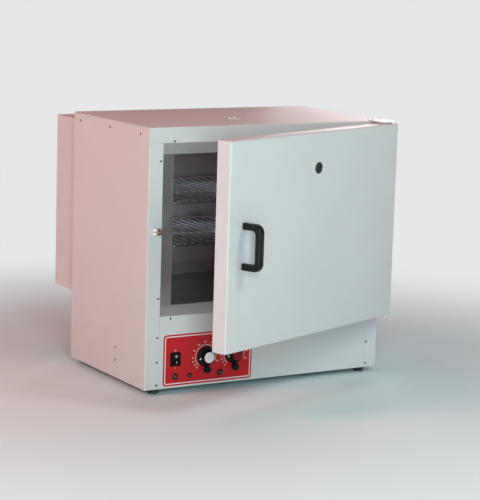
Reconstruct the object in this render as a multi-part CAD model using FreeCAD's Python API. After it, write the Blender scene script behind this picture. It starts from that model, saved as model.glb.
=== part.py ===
# Benchtop drying oven with a fan, two wire shelves and a side-hung door, stored with the door ajar.
# +Z is up, the door faces -Y, and the origin is on the table under the middle of the case.
# Every length is in millimetres and every angle in degrees.
import FreeCAD, Part
import math
import os

V = FreeCAD.Vector
X_AXIS = V(1, 0, 0)
Y_AXIS = V(0, 1, 0)
Z_AXIS = V(0, 0, 1)

# Case, without the feet
case_width = 605.0
case_depth = 364.0
case_height = 570.0
sheet = 1.2
seam = 0.3
bend_radius = 2.0
top_edge_radius = 1.0
stile_width = 33.5
lip_depth = 10.0
top_flange = 34.0
top_side_flange = 25.0
rear_lip = 14.0
base_upturn = 18.0
lower_panel_height = 160.5
lower_panel_tab = 15.0

# Feet
foot_height = 12.5
foot_radius = 13.0
foot_taper = 1.5
foot_inset_x = 33.0
foot_inset_y = 22.0
foot_recess_radius = 5.0
foot_recess_depth = 5.0

# Chamber and the bright frame round its mouth
mouth_side = 61.0
mouth_bottom = 184.0
mouth_drop = 58.0
chamber_rear_gap = 23.0
liner_sheet = 1.0
liner_flange = 15.0
trim_recess = 2.0
trim_sheet = 1.0
trim_lip = 8.0
trim_gap = 0.6
divider_height = 135.0
divider_upturn = 15.0
block_gap = 0.5

# Rear baffle in the chamber, with the fan behind its grille
baffle_gap = 23.0
baffle_bottom = 212.0
fan_x = 332.5
fan_z = 295.0
grille_width = 115.0
grille_height = 88.0
grille_pitch = 6.4
grille_slot = 3.0
outlet_inset = 24.0
outlet_slot_width = 26.0
outlet_slot_height = 5.0
outlet_pitch = 26.0
impeller_radius = 48.0
impeller_width = 13.0
impeller_plate = 1.2
impeller_hub_radius = 11.0
blade_count = 10
blade_sheet = 1.2
blade_sweep = 25.0
shaft_radius = 4.0
shaft_clearance = 0.05
shaft_hole_radius = 7.0
motor_radius = 40.0
motor_length = 58.0
motor_standoff = 20.0
motor_post_radius = 4.0
motor_bearing_depth = 34.0
heater_ring_radius = 66.0
heater_tube_radius = 3.5
heater_leg_angle = 14.0
heater_tail = 14.0
heater_hole_clearance = 0.3
bulb_radius = 3.0
bulb_length = 90.0
bulb_inset = 46.0
bulb_pitch = 20.0

# Shelves and their runners
upper_shelf_height = 404.0
lower_shelf_height = 310.0
shelf_side_gap = 2.0
shelf_front = 14.0
shelf_rear_gap = 12.0
shelf_frame_radius = 2.5
shelf_corner = 12.0
shelf_wire_radius = 1.5
shelf_wire_pitch = 19.5
shelf_back_rise = 11.0
shelf_wire_bend = 5.0
shelf_cross_radius = 2.0
shelf_travel = 20.0
runner_width = 13.0
runner_height = 12.0
runner_sheet = 1.2
runner_gap = 0.3

# Door, drawn closed and then swung open
door_foot = 128.0
door_thickness = 34.5
door_standoff = 18.0
door_left_gap = 2.0
door_right_gap = 0.5
door_top_gap = 2.0
door_edge_radius = 4.0
door_lip = 32.0
door_open_angle = 20.77
pan_depth = 10.0
pan_inset = 37.0
pan_margin = 3.0
pan_flange = 6.0
pan_sheet = 1.0
seal_width = 12.0
seal_inset = 1.0
seal_clearance = 0.3
seal_nose = 4.5
filling_front_gap = 7.0
plug_from_hinge = 300.0
plug_drop = 77.1
plug_radius = 12.4
plug_rise = 4.0
plug_rim = 1.0
plug_stem_radius = 5.5
plug_stem_length = 6.0

# Door handle
handle_from_edge = 50.5
handle_rise = 221.0
handle_centres = 84.4
handle_leg = 14.5
handle_width = 18.5
handle_reach = 48.5
handle_bar = 15.0
handle_corner = 18.0
handle_inner_corner = 8.5
handle_edge = 6.0
handle_screw_radius = 2.5
handle_screw_length = 12.0
handle_screw_clearance = 0.1

# Hinges
pivot_inset = 15.0
pivot_front = 36.0
hinge_plate_width = 39.0
hinge_plate_front = 43.0
hinge_plate_on_case = 15.0
hinge_plate_sheet = 3.0
hinge_leg_height = 32.0
hinge_corner = 3.0
pin_radius = 3.0
pin_clearance = 0.05
pin_length = 18.0
bush_radius = 4.5
bush_length = 14.0
bush_flange_radius = 7.0
bush_gap = 0.2

# Catch on the left stile and its tongue on the door
catch_x = 22.0
catch_rise = 218.5
catch_plate_width = 18.6
catch_plate_height = 13.5
catch_width = 11.0
catch_sheet = 1.0
catch_reach = 13.0
catch_cheek_height = 12.6
roller_radius = 2.6
roller_length = 8.2
roller_offset = 3.8
roller_reach = 9.0
roller_pin_radius = 1.1
roller_clearance = 0.06
tongue_width = 6.0
tongue_thickness = 1.9
tongue_length = 14.0
tongue_base_width = 14.0
tongue_base_height = 30.0
tongue_base_sheet = 1.6

# Control label and what it carries
label_left = 44.5
label_width = 223.5
label_bottom = 4.5
label_height = 113.5
label_corner = 8.0
label_sheet = 0.6
switch_x = 74.3
switch_z = 63.3
switch_width = 25.0
switch_height = 31.0
switch_bezel = 2.0
switch_window_width = 20.6
switch_window_height = 26.6
switch_wall = 0.8
switch_depth = 24.0
switch_hollow = 8.0
switch_hole_gap = 0.3
rocker_gap = 0.3
rocker_radius = 13.0
rocker_back = 4.0
rocker_front = 6.5
rocker_dip = 4.4
rocker_axle_radius = 1.3
rocker_axle_clearance = 0.05
rocker_tilt = 7.0
knob_z = 63.6
thermostat_x = 150.4
limit_x = 222.0
skirt_radius = 22.0
skirt_thickness = 3.0
skirt_gap = 1.0
grip_radius = 13.0
grip_length = 12.0
cap_radius = 12.0
cap_thickness = 2.0
knob_edge = 0.6
spindle_radius = 3.0
spindle_clearance = 0.05
spindle_in_knob = 11.0
spindle_in_body = 16.0
neck_radius = 5.0
neck_hole_gap = 0.2
thermostat_width = 46.0
thermostat_height = 34.0
thermostat_depth = 30.0
lock_drop = 28.5
lock_boss_radius = 4.0
lock_plate_width = 12.0
lock_plate_up = 8.5
lock_plate_down = 6.0
lock_plate_sheet = 2.0
lock_gap = 0.4
lock_screw_radius = 2.0
lock_screw_clearance = 0.05
lock_head_radius = 7.5
lock_head_length = 7.0
lock_screw_tail = 6.0
lamp_z = 24.5
green_lamp_x = 74.6
amber_lamp_x = 111.0
red_lamp_x = 186.9
large_lamp_radius = 7.0
small_lamp_radius = 5.0
lamp_rim = 1.8
lamp_rim_height = 2.0
lamp_barrel_step = 1.2
lamp_barrel_length = 20.0
lamp_dome = 2.2

# Top vent
vent_x = 282.0
vent_y = 128.0
vent_tube_radius = 17.0
vent_tube_wall = 1.0
vent_hole_radius = 4.5
vent_hole_offset = 9.6
damper_radius = 18.0
damper_sheet = 1.5
damper_gap = 0.2
damper_bore_radius = 2.5
damper_clearance = 0.05
damper_tab_width = 7.0
damper_tab_height = 2.0
vent_screw_head = 4.3
vent_screw_rise = 2.6
vent_screw_thread = 1.9
vent_screw_length = 8.0

# Rear cover over the fan motor
cover_inset = 12.0
cover_depth = 116.0
cover_bottom = 152.0
cover_drop = 18.0
cover_louvre_width = 90.0
cover_louvre_height = 5.0
cover_louvre_pitch = 16.0
cover_louvre_rows = 9
cover_louvre_offset = 140.0
cover_louvre_top = 120.0
rail_width = 15.0
rail_length = 104.0
rail_inset = 12.0
gland_x = 90.0
gland_z = 72.0
gland_radius = 11.0
gland_hex = 4.0
gland_length = 22.0
gland_bore_radius = 4.5
gland_thread_radius = 8.0

# Panel screws
screw_head_radius = 2.4
screw_head_height = 1.5
screw_shank_radius = 1.4
screw_shank_length = 8.0
screw_hole_gap = 0.1
stile_screw_inset = 28.7
stile_screw_heights = (9.0, 59.5, 114.0, 200.0)
stile_screw_drop = 72.0
front_screw_inset = 60.5
flange_screw_drop = 30.5
panel_screw_drop = 6.0
side_screw_drop = 17.0
side_screw_depths = (41.0, 185.0)
side_screw_from_back = 32.0
side_pair_depth = 140.0
side_pair_heights = (39.5, 68.7)
rear_screw_inset = 8.0
rear_screw_heights = (40.0, 190.0, 380.0)
rear_screw_drop = 25.0
cover_screw_depth = 89.0
cover_screw_margin = 90.0
hinge_screw_radius = 3.6
hinge_screw_spacing = 20.0
catch_screw_radius = 1.7

# Planes that the pieces share
left = -case_width / 2
right = case_width / 2
front = -case_depth / 2
back = case_depth / 2
bottom = foot_height
top = bottom + case_height
open_left = left + stile_width + seam
open_right = right - stile_width - seam
open_low = bottom + lower_panel_height + seam
open_high = top - top_flange - seam
mouth_left = left + mouth_side
mouth_right = right - mouth_side
mouth_low = bottom + mouth_bottom
mouth_high = top - mouth_drop
trim_face = front + trim_recess
liner_front = trim_face + trim_sheet
liner_left = mouth_left - trim_sheet
liner_right = mouth_right + trim_sheet
liner_low = mouth_low - trim_sheet
liner_high = mouth_high + trim_sheet
liner_back = back - chamber_rear_gap
inside_left = left + sheet + seam
inside_right = right - sheet - seam
panel_back = back - sheet
lid_low = top - sheet
divider_z = bottom + divider_height
baffle_y = liner_back - baffle_gap
shelf_y0 = front + shelf_front
shelf_y1 = baffle_y - shelf_rear_gap
fan_axis_x = left + fan_x
fan_axis_z = bottom + fan_z
impeller_y = baffle_y + liner_sheet + (liner_back - baffle_y - liner_sheet - impeller_width) / 2
motor_face = back + motor_standoff
label_face = front - label_sheet
skirt_back = label_face - skirt_gap
skirt_front = skirt_back - skirt_thickness
grip_front = skirt_front - grip_length
lock_under = skirt_front - lock_gap
lock_front = lock_under - lock_plate_sheet
door_left = left + door_left_gap
door_right = right - door_right_gap
door_low = bottom + door_foot
door_high = top - door_top_gap
door_back = front - door_standoff
door_face = door_back - door_thickness
pan_left = left + pan_inset
pan_right = right - pan_inset
pan_low = open_low + pan_margin
pan_high = open_high - pan_margin
pan_face = door_back + pan_depth
pivot = V(right - pivot_inset, front - pivot_front, 0)
cover_left = left + cover_inset
cover_right = right - cover_inset
cover_back = back + cover_depth
cover_low = bottom + cover_bottom
cover_high = top - cover_drop
catch_axis_x = left + catch_x
catch_axis_z = door_low + catch_rise
vent_axis_x = left + vent_x
vent_axis_y = front + vent_y
vent_screw_seat = top + damper_gap + damper_sheet + damper_gap


def box(x0, x1, y0, y1, z0, z1):
    """A block between two planes each way."""
    return Part.makeBox(x1 - x0, y1 - y0, z1 - z0, V(x0, y0, z0))


def rod(radius, start, direction, length):
    """A round bar from a point along a direction."""
    return Part.makeCylinder(radius, length, start, direction)


def join(shapes):
    """One solid from several that touch or overlap."""
    return shapes[0].multiFuse(shapes[1:]).removeSplitter()


def cut_all(shape, tools):
    """A shape less each of the tools."""
    return shape.cut(Part.makeCompound(tools)) if tools else shape


def group(shapes):
    """Several separate solids kept as one node."""
    return Part.makeCompound([solid for shape in shapes for solid in shape.Solids])


def edges_on(shape, x=None, y=None, z=None):
    """The edges of a shape that lie at the given coordinates."""
    found = []
    for edge in shape.Edges:
        bound = edge.BoundBox
        pairs = ((x, bound.XMin, bound.XMax), (y, bound.YMin, bound.YMax), (z, bound.ZMin, bound.ZMax))
        if all(want is None or max(abs(low - want), abs(high - want)) < 0.01 for want, low, high in pairs):
            found.append(edge)
    return found


def mirrored(shape):
    """The same shape on the other side of the middle plane."""
    return shape.mirror(V(0, 0, 0), X_AXIS)


def swung(shape):
    """A door piece turned from closed to the stored angle."""
    turned = shape.copy()
    turned.rotate(pivot, Z_AXIS, door_open_angle)
    return turned


def facing(shape, place, direction):
    """A shape drawn along +Z at the origin, moved to a place and turned along a direction."""
    placed = shape.copy()
    placed.Placement = FreeCAD.Placement(place, FreeCAD.Rotation(Z_AXIS, direction))
    return placed


def dome(radius, rise):
    """A shallow cap that stands on the XY plane."""
    sphere_radius = (radius * radius + rise * rise) / (2 * rise)
    ball = Part.makeSphere(sphere_radius, V(0, 0, rise - sphere_radius))
    return ball.common(rod(radius, V(0, 0, 0), Z_AXIS, rise))


def pan_screw(seat, outward, head=screw_head_radius, rise=screw_head_height,
              shank=screw_shank_radius, length=screw_shank_length):
    """A round-headed screw with a cross recess, its head's underside at the seat."""
    recess = []
    for across in (X_AXIS, Y_AXIS):
        slot = Part.makeBox(head * 1.2, head * 0.28, rise, V(-head * 0.6, -head * 0.14, rise * 0.55))
        slot.rotate(V(0, 0, 0), Z_AXIS, 0 if across == X_AXIS else 90)
        recess.append(slot)
    crown = dome(head, rise).cut(Part.makeCompound(recess))
    screw = crown.fuse(rod(shank, V(0, 0, -length), Z_AXIS, length))
    return facing(screw.removeSplitter(), seat, outward)


def screw_hole(seat, outward, radius=screw_shank_radius + screw_hole_gap, length=screw_shank_length):
    """The hole that a screw's shank passes through."""
    return rod(radius, seat + outward * 1.0, outward * -1.0, length + 2.0)


def both_sides(spots):
    """Screw spots on the left of the case, and the same ones on its right."""
    pairs = list(spots)
    for seat, outward in spots:
        pairs.append((V(-seat.x, seat.y, seat.z), V(-outward.x, outward.y, outward.z)))
    return pairs


def front_spots():
    """Seats of the screws in the front of the case."""
    stile = [bottom + z for z in stile_screw_heights] + [top - stile_screw_drop]
    spots = [(V(left + stile_screw_inset, front, z), -Y_AXIS) for z in stile]
    for z in (top - flange_screw_drop, bottom + lower_panel_height - panel_screw_drop):
        spots.append((V(left + front_screw_inset, front, z), -Y_AXIS))
    return both_sides(spots)


def side_spots():
    """Seats of the screws in the two sides, with one pair on the left only."""
    depths = [front + y for y in side_screw_depths] + [back - side_screw_from_back]
    spots = [(V(left, y, top - side_screw_drop), -X_AXIS) for y in depths]
    pair = [(V(left, front + side_pair_depth, bottom + z), -X_AXIS) for z in side_pair_heights]
    return both_sides(spots) + pair


def rear_spots():
    """Seats of the screws in the rear panel."""
    heights = [bottom + z for z in rear_screw_heights] + [top - rear_screw_drop]
    return both_sides([(V(left + rear_screw_inset, back, z), Y_AXIS) for z in heights])


def cover_spots():
    """Seats of the screws in the rear cover's roof and floor."""
    x = cover_left + cover_screw_margin
    y = back + cover_screw_depth
    return both_sides([(V(x, y, cover_low), -Z_AXIS), (V(x, y, cover_high), Z_AXIS)])


def holes(spots):
    """A hole for each screw spot."""
    return [screw_hole(seat, outward) for seat, outward in spots]


def side_panel():
    """Left side wall folded round the front as a stile, with an inner lip, without its holes."""
    stile_top = top - top_flange - seam
    wall = box(left, left + sheet, front, back, bottom, lid_low - seam)
    wall = wall.cut(box(left, left + sheet, front, front + sheet + seam, stile_top, top))
    stile = box(left, left + stile_width, front, front + sheet, bottom, stile_top)
    inner = box(left + stile_width - sheet, left + stile_width, front, front + lip_depth,
                bottom + lower_panel_height + seam, stile_top)
    rear = box(left, left + rear_lip, panel_back - seam - sheet, panel_back - seam, bottom, lid_low - seam)
    panel = join([wall, stile, inner, rear])
    return panel.makeFillet(bend_radius, edges_on(panel, x=left, y=front))


def side_panel_left():
    """Left side panel, with the catch's screw holes in its stile."""
    return cut_all(side_panel(), holes(front_spots() + side_spots() + rear_spots() + catch_screw_spots()))


def side_panel_right():
    """Right side panel, with the hinges' screw holes in its stile."""
    spots = front_spots() + side_spots() + rear_spots() + hinge_spots()
    return cut_all(mirrored(side_panel()), holes(spots))


def vent_holes():
    """The two air holes and the screw hole of the top vent."""
    base = V(vent_axis_x, vent_axis_y, top - sheet - 1)
    air = [rod(vent_hole_radius, base + X_AXIS * side * vent_hole_offset, Z_AXIS, sheet + damper_sheet + 4)
           for side in (-1, 1)]
    return air, rod(vent_screw_thread + screw_hole_gap, base, Z_AXIS, sheet + 2)


def top_panel():
    """Lid with a deep front flange, an inner lip and flanges inside the sides."""
    plate = box(left, right, front, back, lid_low, top)
    flange = box(left, right, front, front + sheet, top - top_flange, top)
    inner = box(open_left, open_right, front, front + lip_depth, top - top_flange, top - top_flange + sheet)
    lid = join([plate, flange, inner])
    lid = lid.makeFillet(bend_radius, edges_on(lid, y=front, z=top))
    outer_edges = edges_on(lid, y=back, z=top) + edges_on(lid, x=left, z=top) + edges_on(lid, x=right, z=top)
    lid = lid.makeFillet(top_edge_radius, outer_edges)
    sides = [box(inside_left, inside_left + sheet, front + lip_depth, panel_back - lip_depth,
                 top - top_side_flange, lid_low)]
    sides.append(mirrored(sides[0]))
    lid = join([lid] + sides)
    air, screw = vent_holes()
    return cut_all(lid, holes(front_spots() + side_spots() + hinge_spots()) + air + [screw])


def base_panel():
    """Floor of the case with upturned sides."""
    rear = panel_back - seam - sheet - seam
    plate = box(inside_left, inside_right, front + lip_depth + seam, rear, bottom, bottom + sheet)
    side = box(inside_left, inside_left + sheet, front + lower_panel_tab, rear,
               bottom, bottom + base_upturn)
    return join([plate, side, mirrored(side)])


def rear_panel():
    """Back of the case, with a rail above and one below that hold the motor cover."""
    plate = box(inside_left, inside_right, panel_back, back, bottom, lid_low - seam)
    start = cover_left + sheet + rail_inset
    end = cover_right - sheet - rail_inset
    low = cover_low + sheet + seam
    high = cover_high - sheet - seam
    webs = [box(start, end, back, back + rail_length, z, z + sheet) for z in (low, high - sheet)]
    feet = [box(start, end, back, back + sheet, z, z + rail_width) for z in (low, high - rail_width)]
    panel = join([plate] + webs + feet)
    openings = [rod(shaft_hole_radius, V(fan_axis_x, panel_back - 1, fan_axis_z), Y_AXIS, sheet + 2)]
    openings += heater_holes(panel_back - 1, sheet + 2)
    openings.append(rod(gland_thread_radius + screw_hole_gap, gland_place() - Y_AXIS * 3, Y_AXIS, 6))
    return cut_all(panel, openings + holes(rear_spots() + cover_spots()))


def rear_cover():
    """Box over the fan motor: a folded wrap with cooling slots, its roof and its floor."""
    outer = box(cover_left, cover_right, back, cover_back, cover_low, cover_high)
    corners = edges_on(outer, x=cover_left, y=cover_back) + edges_on(outer, x=cover_right, y=cover_back)
    inner_left = cover_left + sheet
    inner_right = cover_right - sheet
    inner_back = cover_back - sheet
    wrap = outer.makeFillet(bend_radius, corners)
    wrap = wrap.cut(box(inner_left, inner_right, back - 1, inner_back, cover_low - 1, cover_high + 1))
    ends = [box(inner_left, inner_right, back, inner_back, z, z + sheet)
            for z in (cover_low, cover_high - sheet)]
    slots = []
    for row in range(cover_louvre_rows):
        z = cover_high - cover_louvre_top - row * cover_louvre_pitch
        for side in (-1, 1):
            x = side * cover_louvre_offset - cover_louvre_width / 2
            slots.append(box(x, x + cover_louvre_width, cover_back - sheet - 1, cover_back + 1,
                             z, z + cover_louvre_height))
    screws = holes(cover_spots())
    return group([cut_all(wrap, slots)] + [cut_all(end, screws) for end in ends])


def lower_front_panel():
    """Plate below the mouth with tabs behind the stiles, and its top and bottom lips."""
    high = bottom + lower_panel_height
    plate = box(open_left, open_right, front, front + sheet, bottom, high)
    upper = box(open_left, open_right, front + sheet, front + lip_depth, high - sheet, high)
    lower = box(open_left, open_right, front + sheet, front + lip_depth, bottom, bottom + sheet)
    tab = box(left + stile_width - lower_panel_tab, open_left + lower_panel_tab,
              front + sheet, front + 2 * sheet, bottom + sheet, high - sheet - seam)
    cuts = control_cuts() + holes(front_spots() + hinge_spots())
    return group([cut_all(part, cuts) for part in (join([plate, tab, mirrored(tab)]), upper, lower)])


def knob_place(x):
    """The point on the label's face at the middle of a knob."""
    return V(left + x, label_face, bottom + knob_z)


def lamp_place(x):
    """The point on the label's face at the middle of a lamp."""
    return V(left + x, label_face, bottom + lamp_z)


def control_cuts():
    """Cutters for the switch, knobs, lock screws and lamps in the label and its panel."""
    deep = label_sheet + 2 * sheet + 2
    x0 = left + switch_x - switch_window_width / 2 - switch_wall - switch_hole_gap
    z0 = bottom + switch_z - switch_window_height / 2 - switch_wall - switch_hole_gap
    width = switch_window_width + 2 * (switch_wall + switch_hole_gap)
    height = switch_window_height + 2 * (switch_wall + switch_hole_gap)
    cuts = [box(x0, x0 + width, label_face - 1, label_face - 1 + deep, z0, z0 + height)]
    for x in (thermostat_x, limit_x):
        place = knob_place(x) - Y_AXIS
        cuts.append(rod(neck_radius + neck_hole_gap, place, Y_AXIS, deep))
        cuts.append(rod(lock_screw_radius + screw_hole_gap, place - Z_AXIS * lock_drop, Y_AXIS, deep))
    for x, radius in lamp_sizes():
        cuts.append(rod(radius - lamp_barrel_step + screw_hole_gap, lamp_place(x) - Y_AXIS, Y_AXIS, deep))
    return cuts


def lamp_sizes():
    """Place and rim radius of each lamp."""
    return ((green_lamp_x, large_lamp_radius), (amber_lamp_x, small_lamp_radius),
            (red_lamp_x, large_lamp_radius))


def control_label():
    """Thin face plate with rounded corners, stuck to the lower panel."""
    x0 = left + label_left
    z0 = bottom + label_bottom
    x1 = x0 + label_width
    z1 = z0 + label_height
    plate = box(x0, x1, label_face, front, z0, z1)
    corners = []
    for x in (x0, x1):
        for z in (z0, z1):
            corners += edges_on(plate, x=x, z=z)
    plate = plate.makeFillet(label_corner, corners)
    return cut_all(plate, control_cuts())


def heater_feet():
    """Angles, from straight down, at which the heating ring's two legs leave it."""
    return [side * heater_leg_angle for side in (-1, 1)]


def heater_point(angle, y):
    """A point on the heating ring, by its angle from straight down."""
    turn = math.radians(angle)
    return V(fan_axis_x + heater_ring_radius * math.sin(turn), y,
             fan_axis_z - heater_ring_radius * math.cos(turn))


def heater_holes(start, length):
    """Cutters for the two legs of the heating ring."""
    radius = heater_tube_radius + heater_hole_clearance
    return [rod(radius, heater_point(angle, start), Y_AXIS, length) for angle in heater_feet()]


def chamber_ceiling():
    """Roof of the chamber with its front flange and the vent's hole."""
    t = liner_sheet
    roof = box(liner_left - t, liner_right + t, liner_front, liner_back + t, liner_high, liner_high + t)
    flange = box(liner_left - liner_flange, liner_right + liner_flange, liner_front, liner_front + t,
                 liner_high, liner_high + liner_flange)
    start = V(vent_axis_x, vent_axis_y, liner_high - 1)
    hole = rod(vent_tube_radius - vent_tube_wall, start, Z_AXIS, t + 2)
    return join([roof, flange]).cut(hole)


def chamber_floor():
    """Floor of the chamber with its front flange."""
    t = liner_sheet
    plate = box(liner_left - t, liner_right + t, liner_front, liner_back + t, liner_low - t, liner_low)
    flange = box(liner_left - liner_flange, liner_right + liner_flange, liner_front, liner_front + t,
                 liner_low - liner_flange, liner_low)
    return join([plate, flange])


def chamber_walls():
    """Both side walls of the chamber with their front flanges."""
    t = liner_sheet
    wall = box(liner_left - t, liner_left, liner_front, liner_back + t, liner_low, liner_high)
    flange = box(liner_left - liner_flange, liner_left, liner_front, liner_front + t, liner_low, liner_high)
    side = join([wall, flange])
    return group([side, mirrored(side)])


def chamber_back():
    """Back wall of the chamber, with the holes for the fan's shaft and the heating ring."""
    t = liner_sheet
    wall = box(liner_left, liner_right, liner_back, liner_back + t, liner_low, liner_high)
    openings = [rod(shaft_hole_radius, V(fan_axis_x, liner_back - 1, fan_axis_z), Y_AXIS, t + 2)]
    return cut_all(wall, openings + heater_holes(liner_back - 1, t + 2))


def trim_strip(low, high, lip_low, lip_high):
    """A level strip of the bright frame with its lip in the chamber."""
    face = box(open_left, open_right, trim_face, liner_front, low, high)
    lip = box(mouth_left, mouth_right, trim_face, liner_front + trim_lip, lip_low, lip_high)
    return join([face, lip])


def trim_top():
    """Strip over the mouth."""
    return trim_strip(mouth_high, open_high, mouth_high, liner_high)


def trim_bottom():
    """Strip under the mouth."""
    return trim_strip(open_low, mouth_low, liner_low, mouth_low)


def trim_sides():
    """The two upright strips of the mouth."""
    low = mouth_low + trim_gap
    high = mouth_high - trim_gap
    face = box(open_left, mouth_left, trim_face, liner_front, low, high)
    lip = box(liner_left, mouth_left, trim_face, liner_front + trim_lip, low, high)
    strip = join([face, lip])
    return group([strip, mirrored(strip)])


def divider_panel():
    """Tray between the chamber and the control space."""
    y0 = front + lip_depth + seam
    y1 = panel_back - 2 * seam - sheet
    x0 = inside_left + seam
    x1 = inside_right - seam
    plate = box(x0, x1, y0, y1, divider_z, divider_z + sheet)
    lip = box(x0, x1, y0, y0 + sheet, divider_z, divider_z + divider_upturn)
    return join([plate, lip])


def chamber_insulation():
    """Mineral wool blocks round the chamber, one for each wall."""
    t = liner_sheet
    y0 = front + lip_depth + seam + sheet + block_gap
    y1 = panel_back - seam - sheet - block_gap
    low = divider_z + sheet
    high = lid_low - block_gap
    edge = inside_left + sheet + block_gap
    side = box(edge, liner_left - t, y0, y1, low, high)
    over = box(liner_left - t + block_gap, liner_right + t - block_gap, y0, y1, liner_high + t, high)
    over = over.cut(rod(vent_tube_radius + block_gap, V(vent_axis_x, vent_axis_y, liner_high), Z_AXIS,
                        case_height))
    under = box(liner_left - t + block_gap, liner_right + t - block_gap, y0, y1, low, liner_low - t)
    behind = box(liner_left - t + block_gap, liner_right + t - block_gap, liner_back + t, y1,
                 liner_low - t + block_gap, liner_high + t - block_gap)
    openings = [rod(shaft_hole_radius, V(fan_axis_x, liner_back, fan_axis_z), Y_AXIS, case_depth)]
    openings += heater_holes(liner_back, case_depth)
    screws = holes(side_spots() + rear_spots())
    return group([cut_all(side, screws), cut_all(mirrored(side), screws), over, under,
                  cut_all(behind, openings)])


def rear_baffle():
    """False back wall with a slotted fan grille and a column of outlets at each side."""
    t = liner_sheet
    x0 = liner_left + block_gap
    x1 = liner_right - block_gap
    low = bottom + baffle_bottom
    high = liner_high - block_gap
    plate = box(x0, x1, baffle_y, baffle_y + t, low, high)
    side = box(x0, x0 + t, baffle_y, liner_back, low, high)
    wall = join([plate, side, mirrored(side)])
    slots = []
    rows = int(grille_height / grille_pitch)
    for row in range(rows):
        z = fan_axis_z + (row - (rows - 1) / 2) * grille_pitch
        slots.append(box(fan_axis_x - grille_width / 2, fan_axis_x + grille_width / 2,
                         baffle_y - 1, baffle_y + t + 1, z - grille_slot / 2, z + grille_slot / 2))
    count = int((high - low - 2 * outlet_inset) / outlet_pitch) + 1
    for row in range(count):
        z = low + outlet_inset + row * outlet_pitch
        for start in (x0 + outlet_inset, x1 - outlet_inset - outlet_slot_width):
            slots.append(box(start, start + outlet_slot_width, baffle_y - 1, baffle_y + t + 1,
                             z, z + outlet_slot_height))
    return cut_all(wall, slots)


def heater_element():
    """Tubular heating ring round the fan wheel, with two legs through the back."""
    y = baffle_y + liner_sheet + (liner_back - baffle_y - liner_sheet) / 2
    start, end = heater_feet()
    top_point = heater_point(180, y)
    ring = Part.Arc(heater_point(end, y), top_point, heater_point(start, y)).toShape()
    circle = Part.Circle(heater_point(end, y), heater_tangent(end), heater_tube_radius).toShape()
    body = Part.Wire([ring]).makePipe(Part.Face(Part.Wire([circle])))
    legs = []
    for angle in (start, end):
        place = heater_point(angle, y)
        legs.append(Part.makeSphere(heater_tube_radius, place))
        legs.append(rod(heater_tube_radius, place, Y_AXIS, back + heater_tail - y))
    return join([body] + legs)


def heater_tangent(angle):
    """The direction along the heating ring at an angle from straight down."""
    turn = math.radians(angle)
    return V(math.cos(turn), 0, math.sin(turn))


def fan_motor():
    """Round motor on four posts behind the rear panel, bored for its shaft."""
    axis = V(fan_axis_x, motor_face, fan_axis_z)
    body = rod(motor_radius, axis, Y_AXIS, motor_length)
    body = body.makeFillet(bend_radius, edges_on(body, y=motor_face + motor_length))
    posts = []
    for turn in (45, 135, 225, 315):
        angle = math.radians(turn)
        reach = motor_radius - 2 * motor_post_radius
        place = V(fan_axis_x + reach * math.cos(angle), back, fan_axis_z + reach * math.sin(angle))
        posts.append(rod(motor_post_radius, place, Y_AXIS, motor_standoff))
    bearing = rod(shaft_radius + shaft_clearance, axis - Y_AXIS, Y_AXIS, motor_bearing_depth + 1)
    return join([body] + posts).cut(bearing)


def fan_shaft():
    """Steel shaft from the motor to the fan wheel."""
    start = V(fan_axis_x, impeller_y, fan_axis_z)
    return rod(shaft_radius, start, Y_AXIS, motor_face + motor_bearing_depth - seam - impeller_y)


def fan_impeller():
    """Fan wheel: back plate, hub and swept blades, pressed on the shaft."""
    axis = V(fan_axis_x, impeller_y, fan_axis_z)
    plate_y = impeller_y + impeller_width - impeller_plate
    plate = rod(impeller_radius, V(fan_axis_x, plate_y, fan_axis_z), Y_AXIS, impeller_plate)
    hub = rod(impeller_hub_radius, axis, Y_AXIS, impeller_width)
    inner = impeller_radius * 0.5
    blades = []
    for number in range(blade_count):
        blade = box(inner, impeller_radius - blade_sheet, impeller_y, plate_y,
                    -blade_sheet / 2, blade_sheet / 2)
        blade.rotate(V(inner, 0, 0), Y_AXIS, -blade_sweep)
        blade.rotate(V(0, 0, 0), Y_AXIS, number * 360.0 / blade_count)
        blade.translate(V(fan_axis_x, 0, fan_axis_z))
        blades.append(blade)
    wheel = join([plate, hub] + blades)
    wheel = wheel.common(rod(impeller_radius, axis, Y_AXIS, impeller_width))
    return wheel.cut(rod(shaft_radius, axis - Y_AXIS, Y_AXIS, impeller_width + 2))


def shelf_sides():
    """The two side rods' middle lines of a shelf's frame."""
    reach = shelf_side_gap + shelf_frame_radius
    return mouth_left + reach, mouth_right - reach


def shelf_frame(height):
    """Round-cornered frame of a wire shelf."""
    z = bottom + height
    x0, x1 = shelf_sides()
    y0 = shelf_y0
    y1 = shelf_y1
    c = shelf_corner
    k = c * (1 - math.sqrt(0.5))
    edges = [Part.LineSegment(V(x0 + c, y0, z), V(x1 - c, y0, z)),
             Part.Arc(V(x1 - c, y0, z), V(x1 - k, y0 + k, z), V(x1, y0 + c, z)),
             Part.LineSegment(V(x1, y0 + c, z), V(x1, y1 - c, z)),
             Part.Arc(V(x1, y1 - c, z), V(x1 - k, y1 - k, z), V(x1 - c, y1, z)),
             Part.LineSegment(V(x1 - c, y1, z), V(x0 + c, y1, z)),
             Part.Arc(V(x0 + c, y1, z), V(x0 + k, y1 - k, z), V(x0, y1 - c, z)),
             Part.LineSegment(V(x0, y1 - c, z), V(x0, y0 + c, z)),
             Part.Arc(V(x0, y0 + c, z), V(x0 + k, y0 + k, z), V(x0 + c, y0, z))]
    path = Part.Wire([edge.toShape() for edge in edges])
    section = Part.Wire([Part.Circle(V(x0 + c, y0, z), X_AXIS, shelf_frame_radius).toShape()])
    return Part.Solid(path.makePipeShell([section], True, False))


def shelf_wire_z(height):
    """Height of a shelf's lengthwise wires, which rest on its frame."""
    return bottom + height + shelf_frame_radius + shelf_wire_radius


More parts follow.
